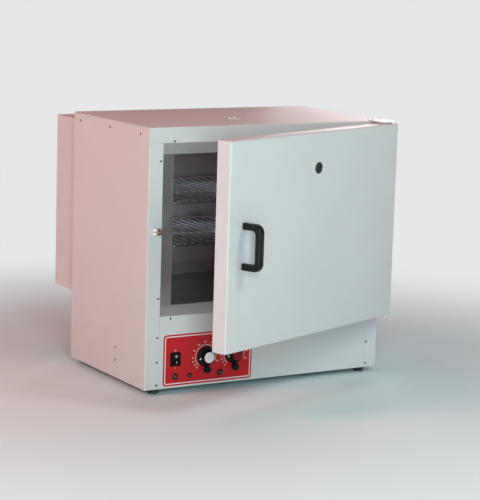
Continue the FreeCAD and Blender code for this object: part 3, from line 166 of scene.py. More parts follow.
class Graph:
    """The nodes of one material, or of the world."""

    def __init__(self, owner: bpy.types.Material | bpy.types.World) -> None:
        """Clear the owner's nodes.

        Args:
            owner: What the nodes belong to.
        """
        owner.use_nodes = True
        self.owner = owner
        self.tree = owner.node_tree
        self.tree.nodes.clear()

    def add(self, kind: str, settings: Mapping[str, object] | None = None,
            inputs: Mapping[int | str, Value] | None = None, output: int | str = 0) -> Signal:
        """Add one node.

        Args:
            kind: The node's type.
            settings: Its settings, set before its inputs.
            inputs: Values or links for its sockets, by place or name.
            output: Which output to give back.

        Returns:
            The chosen output.
        """
        node = self.tree.nodes.new(kind)
        for key, setting in (settings or {}).items():
            setattr(node, key, setting)
        for key, value in (inputs or {}).items():
            socket = node.inputs[key]
            if isinstance(value, Signal):
                self.tree.links.new(value.socket, socket)
            elif socket.type == "RGBA":
                socket.default_value = (*value, 1.0)
            else:
                socket.default_value = value
        return Signal(self, node.outputs[output] if node.outputs else None)

    def place(self, stretch: Triple = (1.0, 1.0, 1.0)) -> Signal:
        """The place on the object, in metres at rest.

        Args:
            stretch: How much finer it runs along each axis.

        Returns:
            The place as a vector.
        """
        here = self.add("ShaderNodeTexCoord", output="Object")
        return self.add("ShaderNodeVectorMath", {"operation": "MULTIPLY"}, {0: here, 1: stretch})

    def noise(self, scale: float, stretch: Triple = (1.0, 1.0, 1.0), detail: float = 3.0) -> Signal:
        """A smooth random value over the object.

        Args:
            scale: Waves in a metre.
            stretch: How much finer it runs along each axis.
            detail: How many finer layers it has.

        Returns:
            A value between 0 and 1.
        """
        return self.add("ShaderNodeTexNoise", {},
                        {"Vector": self.place(stretch), "Scale": scale, "Detail": detail})

    def cells(self, scale: float) -> Signal:
        """A random value for each crystal, with this many crystals in a metre."""
        inputs = {"Vector": self.place(), "Scale": scale}
        return self.add("ShaderNodeSeparateColor", {},
                        {0: self.add("ShaderNodeTexVoronoi", {}, inputs, "Color")})

    def distance(self, centre: Vector, axis: Axis) -> Signal:
        """The distance from a line.

        Args:
            centre: A point on the line.
            axis: The line's direction.

        Returns:
            The distance in metres.
        """
        place = self.place()
        across = [self.add("ShaderNodeSeparateXYZ", {}, {0: place}, a.value) - centre[a.value]
                  for a in Axis if a is not axis]
        return (across[0] * across[0] + across[1] * across[1]) ** 0.5

    def blend(self, mask: Value, first: Value, second: Value) -> Signal:
        """Mix two colours.

        Args:
            mask: 0 for the first colour, 1 for the second.
            first: A colour.
            second: A colour.

        Returns:
            The mixed colour.
        """
        return self.add("ShaderNodeMix", {"data_type": "RGBA"}, {0: mask, 6: first, 7: second}, 2)

    def bump(self, height: Signal, depth: float) -> Signal:
        """A normal from a height.

        Args:
            height: The height, between 0 and 1.
            depth: What 1 stands for, in metres.

        Returns:
            The normal.
        """
        return self.add("ShaderNodeBump", {}, {"Strength": 1.0, "Distance": depth, "Height": height})

    def finish(self, shader: Signal) -> None:
        """Send a shader to the owner's output."""
        is_world = isinstance(self.owner, bpy.types.World)
        kind = "ShaderNodeOutputWorld" if is_world else "ShaderNodeOutputMaterial"
        self.add(kind, {}, {"Surface": shader})


@dataclass(frozen=True)
class Finish:
    """A surface finish, whose material is made on first use."""

    name: str
    colour: Colour

    made: ClassVar[dict["Finish", bpy.types.Material]] = {}

    def sockets(self, graph: Graph) -> dict[str, Value]:
        """Draw the finish's nodes.

        Args:
            graph: The material's nodes.

        Returns:
            What goes into each socket of the main shader.
        """
        raise NotImplementedError

    def material(self) -> bpy.types.Material:
        """The finish's material.

        Returns:
            The material, made on first use.
        """
        if self not in self.made:
            graph = Graph(bpy.data.materials.new(self.name))
            graph.finish(graph.add("ShaderNodeBsdfPrincipled", {}, self.sockets(graph)))
            self.made[self] = graph.owner
        return self.made[self]


@dataclass(frozen=True)
class PowderCoat(Finish):
    """Satin powder coat with a fine orange peel, a little dust and hairline scuffs."""

    roughness: float = 0.4
    peel: float = 0.02 * MM

    def sockets(self, graph: Graph) -> dict[str, Value]:
        """Cloudy tone, dust specks and scuffs over a peel bump.

        Args:
            graph: The material's nodes.

        Returns:
            What goes into each socket of the main shader.
        """
        cloud = graph.noise(6.0).between(0.3, 0.7)
        dust = graph.noise(230.0, detail=5.0).between(0.66, 0.8)
        scuff = graph.noise(40.0, (1.0, 1.0, 26.0), 1.0).between(0.72, 0.76)
        peel = graph.noise(620.0, detail=2.0)
        base = graph.blend(cloud * 0.6, self.colour, tone(self.colour, 0.95))
        base = graph.blend(dust * 0.22, base, tone(self.colour, 0.7))
        return {"Base Color": graph.blend(scuff * 0.25, base, tone(self.colour, 1.12)),
                "Roughness": self.roughness + cloud * 0.05 + dust * 0.15 - scuff * 0.08,
                "Normal": graph.bump(peel, self.peel)}


@dataclass(frozen=True)
class BrushedSheet(Finish):
    """Sheet steel brushed along one axis, with smudges and an optional heat stain."""

    grain: Axis = Axis.X
    roughness: float = 0.3
    stain: float = 0.0

    def sockets(self, graph: Graph) -> dict[str, Value]:
        """Fine and broad streaks along the grain, smudges and stain.

        Args:
            graph: The material's nodes.

        Returns:
            What goes into each socket of the main shader.
        """
        stretch = tuple(5.0 if axis is self.grain else 800.0 for axis in Axis)
        streak = graph.noise(1.0, stretch, 4.0).between(0.25, 0.75)
        broad = graph.noise(0.12, stretch, 2.0).between(0.3, 0.7)
        smudge = graph.noise(16.0, detail=6.0).between(0.42, 0.72)
        base = graph.blend(streak, tone(self.colour, 0.86), tone(self.colour, 1.1))
        base = graph.blend(broad * 0.35, base, tone(self.colour, 0.8))
        burnt = tuple(channel * share for channel, share in zip(self.colour, (0.72, 0.6, 0.48)))
        base = graph.blend(smudge * self.stain, base, burnt)
        return {"Base Color": base, "Metallic": 1.0,
                "Roughness": self.roughness + streak * 0.1 + smudge * 0.12,
                "Normal": graph.bump(streak, 0.006 * MM)}


@dataclass(frozen=True)
class ZincSheet(Finish):
    """Galvanised sheet with a crystal pattern."""

    crystals: float = 130.0

    def sockets(self, graph: Graph) -> dict[str, Value]:
        """Crystals of slightly different tone and gloss under a thin haze.

        Args:
            graph: The material's nodes.

        Returns:
            What goes into each socket of the main shader.
        """
        crystal = graph.cells(self.crystals)
        haze = graph.noise(25.0, detail=5.0)
        dark = tone(self.colour, 0.72)
        return {"Base Color": graph.blend(crystal * 0.6 + haze * 0.3, self.colour, dark),
                "Metallic": 1.0, "Roughness": 0.3 + crystal * 0.14 + haze * 0.12,
                "Normal": graph.bump(haze, 0.01 * MM)}


@dataclass(frozen=True)
class PlatedSteel(Finish):
    """Plated steel of screws, pins and wires, with faint drawing marks."""

    roughness: float = 0.16
    dullness: float = 0.25

    def sockets(self, graph: Graph) -> dict[str, Value]:
        """Dull patches and fine marks.

        Args:
            graph: The material's nodes.

        Returns:
            What goes into each socket of the main shader.
        """
        patch = graph.noise(90.0, detail=5.0).between(0.4, 0.75)
        mark = graph.noise(1500.0, detail=2.0)
        dull = tone(self.colour, 0.55)
        return {"Base Color": graph.blend(patch * self.dullness, self.colour, dull),
                "Metallic": 1.0, "Roughness": self.roughness + patch * 0.16 + mark * 0.05,
                "Normal": graph.bump(mark, 0.006 * MM)}


@dataclass(frozen=True)
class TurnedMetal(Finish):
    """Metal turned on a lathe, with rings round its own axis."""

    centre: Triple = (0.0, 0.0, 0.0)
    axis: Axis = Axis.Y
    pitch: float = 0.45 * MM
    metallic: float = 1.0
    roughness: float = 0.26

    def sockets(self, graph: Graph) -> dict[str, Value]:
        """Rings, and a faint cloud that breaks them.

        Args:
            graph: The material's nodes.

        Returns:
            What goes into each socket of the main shader.
        """
        distance = graph.distance(Vector(self.centre), self.axis)
        rings = (distance * (2.0 * math.pi / self.pitch)).wave()
        cloud = graph.noise(110.0, detail=5.0)
        dark = tone(self.colour, 0.8)
        return {"Base Color": graph.blend(rings * 0.5 + cloud * 0.3, self.colour, dark),
                "Metallic": self.metallic,
                "Roughness": self.roughness + rings * 0.08 + cloud * 0.1,
                "Normal": graph.bump(rings, 0.008 * MM)}


@dataclass(frozen=True)
class MouldedPlastic(Finish):
    """Moulded plastic with a spark-eroded grain and dust in its hollows."""

    roughness: float = 0.42
    grain: float = 0.025 * MM

    def sockets(self, graph: Graph) -> dict[str, Value]:
        """Grain, flow clouds and dust.

        Args:
            graph: The material's nodes.

        Returns:
            What goes into each socket of the main shader.
        """
        grain = graph.noise(1300.0, detail=3.0)
        flow = graph.noise(35.0, detail=3.0)
        dust = graph.noise(400.0, detail=5.0).between(0.62, 0.78)
        base = graph.blend(flow * 0.5, self.colour, tone(self.colour, 1.5))
        return {"Base Color": graph.blend(dust * 0.025, base, (0.42, 0.41, 0.39)),
                "Specular IOR Level": 0.22,
                "Roughness": self.roughness + grain * 0.1 + dust * 0.2,
                "Normal": graph.bump(grain, self.grain)}


@dataclass(frozen=True)
class PrintedFace(Finish):
    """Printed polyester face of the control label, slightly textured."""

    def sockets(self, graph: Graph) -> dict[str, Value]:
        """Ink clouds and a fine emboss.

        Args:
            graph: The material's nodes.

        Returns:
            What goes into each socket of the main shader.
        """
        cloud = graph.noise(28.0, detail=4.0).between(0.3, 0.7)
        emboss = graph.noise(1100.0, detail=1.0)
        speck = graph.noise(700.0, detail=3.0).between(0.68, 0.8)
        base = graph.blend(cloud * 0.6, self.colour, tone(self.colour, 0.86))
        return {"Base Color": graph.blend(speck * 0.3, base, tone(self.colour, 1.5)),
                "Specular IOR Level": 0.3, "Roughness": 0.36 + cloud * 0.08 + emboss * 0.05,
                "Normal": graph.bump(emboss, 0.012 * MM)}


@dataclass(frozen=True)
class Ink(Finish):
    """Opaque printed ink with tiny voids."""

    def sockets(self, graph: Graph) -> dict[str, Value]:
        """Slightly uneven cover.

        Args:
            graph: The material's nodes.

        Returns:
            What goes into each socket of the main shader.
        """
        void = graph.noise(1600.0, detail=3.0).between(0.6, 0.82)
        return {"Base Color": graph.blend(void * 0.35, self.colour, tone(self.colour, 0.72)),
                "Roughness": 0.45 + void * 0.15}


@dataclass(frozen=True)
class SoftRubber(Finish):
    """Rubber or silicone with talc-like bloom and a fine moulded skin."""

    bloom: float = 0.2
    roughness: float = 0.62

    def sockets(self, graph: Graph) -> dict[str, Value]:
        """Bloom patches and skin.

        Args:
            graph: The material's nodes.

        Returns:
            What goes into each socket of the main shader.
        """
        bloom = graph.noise(55.0, detail=6.0).between(0.4, 0.75)
        skin = graph.noise(900.0, detail=3.0)
        return {"Base Color": graph.blend(bloom * self.bloom, self.colour, (0.5, 0.49, 0.47)),
                "Roughness": self.roughness + bloom * 0.14 + skin * 0.06,
                "Normal": graph.bump(skin, 0.03 * MM)}


@dataclass(frozen=True)
class LampLens(Finish):
    """Coloured lens with moulded rings, darker towards its rim."""

    centre: Triple = (0.0, 0.0, 0.0)
    reach: float = 5.0 * MM
    pitch: float = 0.9 * MM
    rim_start: float = 0.45

    def sockets(self, graph: Graph) -> dict[str, Value]:
        """Rings and a rim shadow round the lens's own axis.

        Args:
            graph: The material's nodes.

        Returns:
            What goes into each socket of the main shader.
        """
        distance = graph.distance(Vector(self.centre), Axis.Y)
        rings = (distance * (2.0 * math.pi / self.pitch)).wave()
        rim = distance.between(self.reach * self.rim_start, self.reach)
        cloud = graph.noise(260.0, detail=3.0)
        base = graph.blend(rim, self.colour, tone(self.colour, 0.25))
        return {"Base Color": graph.blend(rings * 0.25, base, tone(self.colour, 1.6)),
                "Roughness": 0.1 + cloud * 0.08, "Coat Weight": 0.6,
                "Normal": graph.bump(rings, 0.05 * MM)}


@dataclass(frozen=True)
class MineralWool(Finish):
    """Matted mineral fibre."""

    def sockets(self, graph: Graph) -> dict[str, Value]:
        """Long and short fibres.

        Args:
            graph: The material's nodes.

        Returns:
            What goes into each socket of the main shader.
        """
        fibre = graph.noise(90.0, (1.0, 1.0, 9.0), 6.0)
        clump = graph.noise(40.0, detail=4.0).between(0.35, 0.7)
        base = graph.blend(fibre, tone(self.colour, 0.7), tone(self.colour, 1.15))
        return {"Base Color": graph.blend(clump * 0.4, base, tone(self.colour, 0.6)),
                "Roughness": 0.9, "Normal": graph.bump(fibre, 0.8 * MM)}


@dataclass
class Palette:
    """The oven's finishes."""

    case_paint: Finish = PowderCoat("satin_case_paint", (0.66, 0.67, 0.665))
    door_paint: Finish = PowderCoat("satin_door_paint", (0.66, 0.68, 0.675), roughness=0.36)
    hinge_paint: Finish = PowderCoat("hinge_enamel", (0.84, 0.87, 0.86), roughness=0.3)
    # The three trims are one brushed steel: the upper trim's paler, bluer colour is painted light, and the
    # darker colours of the upright and lower trims are painted shade.
    trim_upright_painted_shade: Finish = BrushedSheet("upright_brushed_trim_painted_shade", (0.42, 0.42, 0.43), Axis.Z, 0.34)
    trim_upper_painted_light: Finish = BrushedSheet("upper_brushed_trim_painted_light", (0.82, 0.93, 0.97), Axis.X, 0.34)
    trim_lower_painted_shade: Finish = BrushedSheet("lower_brushed_trim_painted_shade", (0.5, 0.51, 0.52), Axis.X, 0.32)
    liner_steel: Finish = BrushedSheet("heat_stained_liner", (0.4, 0.4, 0.41), Axis.Y, 0.4, stain=0.2)
    # The baffle is the liner's steel drawn paler and bluer, which is painted light; its heat stain is
    # real.
    baffle_steel_painted_light: Finish = BrushedSheet("heat_stained_baffle_painted_light", (0.68, 0.7, 0.77), Axis.X, 0.42, stain=0.12)
    runner_steel: Finish = BrushedSheet("runner_steel", (0.4, 0.39, 0.38), Axis.Y, 0.36, stain=0.3)
    pan_steel: Finish = BrushedSheet("door_pan_steel", (0.48, 0.48, 0.48), Axis.Z, 0.4, stain=0.15)
    zinc: Finish = ZincSheet("galvanised_sheet", (0.6, 0.61, 0.62))
    motor_zinc: Finish = ZincSheet("motor_plating", (0.5, 0.5, 0.5), 260.0)
    chrome_wire: Finish = PlatedSteel("chromed_wire", (0.98, 0.99, 1.0), 0.3, 0.04)
    chrome_bar: Finish = PlatedSteel("chromed_bars", (0.98, 1.0, 0.99), 0.34, 0.03)
    # The shelf frame is the shelf's plated wire drawn nearly black, as painted shade.
    frame_wire_painted_shade: Finish = PlatedSteel("shelf_frame_painted_shade", (0.16, 0.16, 0.17), 0.32, 0.5)
    screw_steel: Finish = MouldedPlastic("blackened_screws", (0.035, 0.034, 0.034), 0.3, 0.01 * MM)
    bright_screws: Finish = PlatedSteel("plated_screws", (0.55, 0.54, 0.52), 0.24, 0.4)
    pin_steel: Finish = PlatedSteel("ground_pin_steel", (0.62, 0.62, 0.62), 0.16)
    bracket_steel: Finish = PlatedSteel("nickel_plated_catch", (0.72, 0.71, 0.69), 0.2)
    copper: Finish = PlatedSteel("copper_rollers", (0.6, 0.36, 0.26), 0.24)
    # Real heat tint on the heater element. On the vent tube the same dark finish is painted shade, so the
    # damper's holes read dark.
    tube_heat_tint_and_painted_shade: Finish = PlatedSteel("heat_tinted_tube_and_painted_shade", (0.2, 0.15, 0.12), 0.4, 0.6)
    lamp_rim: Finish = MouldedPlastic("black_lamp_rim", (0.006, 0.005, 0.005), 0.3, 0.01 * MM)
    wheel_aluminium: Finish = PlatedSteel("fan_wheel_aluminium", (0.7, 0.7, 0.71), 0.3)
    black_plastic: Finish = MouldedPlastic("black_moulding", (0.004, 0.004, 0.005))
    handle_plastic: Finish = MouldedPlastic("black_handle_moulding", (0.005, 0.007, 0.008), 0.3, 0.03 * MM)
    rocker_plastic: Finish = MouldedPlastic("glossy_rocker", (0.003, 0.003, 0.004), 0.3, 0.006 * MM)
    red_plastic: Finish = MouldedPlastic("dark_red_cap", (0.2, 0.008, 0.022), 0.3, 0.008 * MM)
    label_red: Finish = PrintedFace("red_label_face", (0.56, 0.012, 0.018))
    white_ink: Finish = Ink("white_ink", (0.86, 0.86, 0.86))
    foot_rubber: Finish = SoftRubber("black_foot_rubber", (0.02, 0.02, 0.02))
    plug_rubber: Finish = SoftRubber("black_plug_rubber", (0.005, 0.005, 0.005), 0.015, 0.45)
    seal_rubber: Finish = SoftRubber("pale_silicone", (0.56, 0.54, 0.5), 0.35, 0.55)
    wool: Finish = MineralWool("mineral_wool", (0.5, 0.42, 0.24))


def paint_nodes(finish: Finish, *nodes: str) -> None:
    """Give CAD nodes a finish.

    Args:
        finish: The finish.
        nodes: The nodes' names.
    """
    for node in nodes:
        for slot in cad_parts[node].material_slots:
            slot.material = finish.material()
        log.info("%s wears %s", node, finish.name)


def middle(node: str) -> Vector:
    """The middle of a CAD node's box, in metres."""
    low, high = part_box(node)
    return (low + high) / 2


def place_piece(name: str, form: bmesh.types.BMesh, finish: Finish, body: Body,
                sharp: float = 35.0) -> bpy.types.Object:
    """Turn a mesh into a finished piece on a body.

    Args:
        name: The piece's name.
        form: Its mesh, in the row frame.
        finish: Its finish.
        body: The body that it moves with.
        sharp: Edges with a wider turn than this many degrees stay sharp.

    Returns:
        The piece.
    """
    bmesh.ops.recalc_face_normals(form, faces=form.faces)
    mesh = bpy.data.meshes.new(name)
    form.to_mesh(mesh)
    form.free()
    mesh.shade_smooth()
    mesh.set_sharp_from_angle(angle=math.radians(sharp))
    mesh.materials.append(finish.material())
    piece = bpy.data.objects.new(name, mesh)
    bpy.context.scene.collection.objects.link(piece)
    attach(piece, body.value)
    log.info("%s: %d faces, on %s", name, len(mesh.polygons), body.value)
    return piece


def join_forms(whole: bmesh.types.BMesh, part: bmesh.types.BMesh) -> None:
    """Move one form's faces into another.

    Args:
        whole: The form that grows.
        part: The form that goes into it, and ends.
    """
    spare = bpy.data.meshes.new("spare")
    part.to_mesh(spare)
    part.free()
    whole.from_mesh(spare)
    bpy.data.meshes.remove(spare)


def round_corners(left: float, right: float, low: float, high: float, corner: float) -> list[Point]:
    """The outline of a rectangle with round corners.

    Args:
        left: Its left side.
        right: Its right side.
        low: Its bottom.
        high: Its top.
        corner: The corners' radius.

    Returns:
        Points round the outline.
    """
    centres = ((right - corner, high - corner), (right - corner, low + corner),
               (left + corner, low + corner), (left + corner, high - corner))
    return [point for turn, centre in enumerate(centres)
            for point in arc_points(centre, corner, 90.0 * turn, 90.0 * turn + 90.0, CORNER_STEPS)]


def arc_points(centre: Point, radius: float, start: float, end: float, steps: int) -> list[Point]:
    """Points on an arc.

    Args:
        centre: The arc's centre.
        radius: Its radius.
        start: Its first angle, clockwise from straight up, in degrees.
        end: Its last angle.
        steps: How many runs it has.

    Returns:
        The points, with both ends.
    """
    angles = [math.radians(start + (end - start) * step / steps) for step in range(steps + 1)]
    return [(centre[0] + radius * math.sin(a), centre[1] + radius * math.cos(a)) for a in angles]


def ring_points(centre: Point, radius: float) -> list[Point]:
    """Points round a full circle, the first one straight up."""
    return arc_points(centre, radius, 0.0, 360.0 - 360.0 / RING_STEPS, RING_STEPS - 1)


@dataclass
class Print:
    """Flat shapes printed on an upright face, gathered into one thin mesh."""

    face: float
    thickness: float = 0.15 * MM
    form: bmesh.types.BMesh = field(default_factory=bmesh.new)

    def _corners(self, points: Sequence[Point], depth: float) -> list[bmesh.types.BMVert]:
        """New corners at a depth in front of the face."""
        return [self.form.verts.new((x, self.face - depth, z)) for x, z in points]

    def patch(self, outline: Sequence[Point]) -> None:
        """Print a filled outline.

        Args:
            outline: Points round it.
        """
        front = self._corners(outline, self.thickness)
        back = self._corners(outline, 0.0)
        self.form.faces.new(front)
        self.form.faces.new(back[::-1])
        for here in range(len(outline)):
            after = (here + 1) % len(outline)
            self.form.faces.new((front[here], back[here], back[after], front[after]))

    def band(self, outer: Sequence[Point], inner: Sequence[Point], closed: bool = True) -> None:
        """Print the band between two outlines.

        Args:
            outer: Points of the outer outline.
            inner: As many points of the inner outline.
            closed: Whether the band meets itself.
        """
        rings = [self._corners(outer, self.thickness), self._corners(inner, self.thickness),
                 self._corners(inner, 0.0), self._corners(outer, 0.0)]
        count = len(outer)
        for here in range(count if closed else count - 1):
            after = (here + 1) % count
            for side in range(4):
                near, far = rings[side], rings[(side + 1) % 4]
                self.form.faces.new((near[here], near[after], far[after], far[here]))
        if not closed:
            for end in (0, count - 1):
                self.form.faces.new([ring[end] for ring in rings])

    def bar(self, centre: Point, angle: float, inner: float, outer: float, width: float) -> None:
        """Print a bar that points away from a centre.

        Args:
            centre: The centre.
            angle: The bar's direction, clockwise from straight up, in degrees.
            inner: How far from the centre it starts.
            outer: How far from the centre it ends.
            width: Its width.
        """
        turn = math.radians(angle)
        out = Vector((math.sin(turn), math.cos(turn)))
        side = Vector((out.y, -out.x)) * width / 2
        middle_point = Vector(centre)
        corners = [middle_point + out * reach + side * hand
                   for reach, hand in ((inner, -1), (outer, -1), (outer, 1), (inner, 1))]
        self.patch([tuple(corner) for corner in corners])

    def figure(self, text: str, centre: Point, height: float) -> None:
        """Print a number.

        Args:
            text: The number.
            centre: Its middle.
            height: The type's size.
        """
        curve = bpy.data.curves.new("figure", "FONT")
        curve.body = text
        curve.size = height
        curve.align_x = "CENTER"
        curve.align_y = "CENTER"
        curve.extrude = self.thickness / 2
        holder = bpy.data.objects.new("figure", curve)
        bpy.context.scene.collection.objects.link(holder)
        graph = bpy.context.evaluated_depsgraph_get()
        flat = bpy.data.meshes.new_from_object(holder.evaluated_get(graph))
        place = Matrix.Translation((centre[0], self.face - self.thickness / 2, centre[1]))
        flat.transform(place @ Matrix.Rotation(math.radians(90.0), 4, "X"))
        self.form.from_mesh(flat)
        bpy.data.objects.remove(holder)
        bpy.data.curves.remove(curve)
        bpy.data.meshes.remove(flat)


@dataclass(frozen=True)
class Ring:
    """One ring of a turned form: its radius, its place along the axis and its flutes' depth."""

    radius: float
    y: float
    flute: float = 0.0


def turned_form(centre: Vector, rings: Sequence[Ring], flutes: int = 0,
                steps: int = 144) -> bmesh.types.BMesh:
    """A round form about an axis along Y.

    Args:
        centre: A point on the axis.
        rings: The form's rings, in order from one end to the other.
        flutes: How many flutes run along it.
        steps: How many corners each ring has.

    Returns:
        The closed mesh.
    """
    form = bmesh.new()
    loops = []
    for ring in rings:
        loop = []
        for step in range(steps):
            turn = 2.0 * math.pi * step / steps
            cut = ring.flute * (0.5 - 0.5 * math.cos(flutes * turn)) ** 2
            reach = ring.radius - cut
            loop.append(form.verts.new((centre.x + reach * math.cos(turn), ring.y,
                                        centre.z + reach * math.sin(turn))))
        loops.append(loop)
    for near, far in zip(loops, loops[1:]):
        for step in range(steps):
            after = (step + 1) % steps
            form.faces.new((near[step], near[after], far[after], far[step]))
    form.faces.new(loops[0])
    form.faces.new(loops[-1][::-1])
    return form


@dataclass
class CaseWork:
    """Painted case, its feet and its screws."""

    palette: Palette

    def dress(self) -> None:
        """Paint the case's panels and plain parts."""
        p = self.palette
        paint_nodes(p.case_paint, "side_panel_left", "side_panel_right", "top_panel", "lower_front_panel",
                    "rear_cover")
        paint_nodes(p.zinc, "base_panel", "rear_panel", "divider_panel")
        paint_nodes(p.foot_rubber, "rubber_feet")
        paint_nodes(p.screw_steel, "case_screws")
        paint_nodes(p.bright_screws, "handle_screws")
        paint_nodes(p.wool, "chamber_insulation")
        paint_nodes(p.black_plastic, "cable_gland")


@dataclass
class Chamber:
    """Steel chamber with its bright frame, baffle, heating, fan and shelves."""

    palette: Palette
    screw_radius: float = 3.0 * MM
    screw_rise: float = 1.6 * MM
    screw_inset: float = 12.0 * MM
    screw_rows: int = 3
    dome_steps: int = 5
    screw_corners: int = 24

    def dress(self) -> None:
        """Paint the chamber's nodes."""
        p = self.palette
        paint_nodes(p.liner_steel, "chamber_ceiling", "chamber_floor", "chamber_walls")
        # The chamber back and baffle wear the liner's steel lightened and cooled, as painted light.
        paint_nodes(p.baffle_steel_painted_light, "chamber_back", "rear_baffle")
        # Painted light on the upper trim and painted shade on the upright and lower trims.
        paint_nodes(p.trim_upper_painted_light, "trim_top")
        paint_nodes(p.trim_lower_painted_shade, "trim_bottom")
        paint_nodes(p.trim_upright_painted_shade, "trim_sides")
        paint_nodes(p.runner_steel, "shelf_runners")
        for shelf in ("shelf_upper", "shelf_lower"):
            # The frame's dark colour is painted shade.
            paint_nodes(p.frame_wire_painted_shade, f"{shelf}_frame")
            paint_nodes(p.chrome_wire, f"{shelf}_wires")
            paint_nodes(p.chrome_bar, f"{shelf}_bars")
        # The vent tube's dark colour is painted shade inside the damper's holes; the heater element's tint
        # is real.
        paint_nodes(p.tube_heat_tint_and_painted_shade, "heater_element", "vent_tube")
        paint_nodes(p.wheel_aluminium, "fan_impeller")
        paint_nodes(p.motor_zinc, "fan_motor")
        paint_nodes(p.pin_steel, "fan_shaft")

    def baffle_screws(self) -> None:
        """Round-headed screws down both edges of the baffle."""
        low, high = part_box("rear_baffle")
        form = bmesh.new()
        reach = high.z - low.z - 2 * self.screw_inset
        for x in (low.x + self.screw_inset, high.x - self.screw_inset):
            for row in range(self.screw_rows):
                z = low.z + self.screw_inset + reach * row / (self.screw_rows - 1)
                head = turned_form(Vector((x, 0.0, z)), self.head_rings(low.y), steps=self.screw_corners)
                join_forms(form, head)
        place_piece("baffle_screws", form, self.palette.screw_steel, Body.CASE)

    def head_rings(self, seat: float) -> list[Ring]:
        """The rings of a domed head on a seat that faces the door.

        Args:
            seat: The seat's place along the axis.

        Returns:
            The rings, from the seat to the tip.
        """
        angles = [math.pi / 2 * step / self.dome_steps for step in range(self.dome_steps)]
        return [Ring(self.screw_radius * math.cos(a), seat - self.screw_rise * math.sin(a))
                for a in angles]


@dataclass
class Door:
    """Door with its handle, seal, plug, hinges and catch."""

    palette: Palette

    def dress(self) -> None:
        """Paint the door's nodes, the hinges' and the catch's."""
        p = self.palette
        paint_nodes(p.door_paint, "door_shell")
        paint_nodes(p.pan_steel, "door_inner_pan")
        paint_nodes(p.seal_rubber, "door_seal")
        paint_nodes(p.wool, "door_insulation")
        paint_nodes(p.handle_plastic, "door_handle")
        paint_nodes(p.plug_rubber, "door_plug")
        paint_nodes(p.hinge_paint, "hinge_plate_top", "hinge_plate_bottom", "hinge_screws")
        paint_nodes(p.pin_steel, "hinge_pins")
        paint_nodes(p.bracket_steel, "catch_body", "catch_tongue")
        paint_nodes(p.copper, "catch_roller_upper", "catch_roller_lower")
        centre = tuple(middle("hinge_bushes"))
        brass = TurnedMetal("turned_brass", (0.36, 0.28, 0.12), centre, Axis.Z, 0.3 * MM)
        paint_nodes(brass, "hinge_bushes")


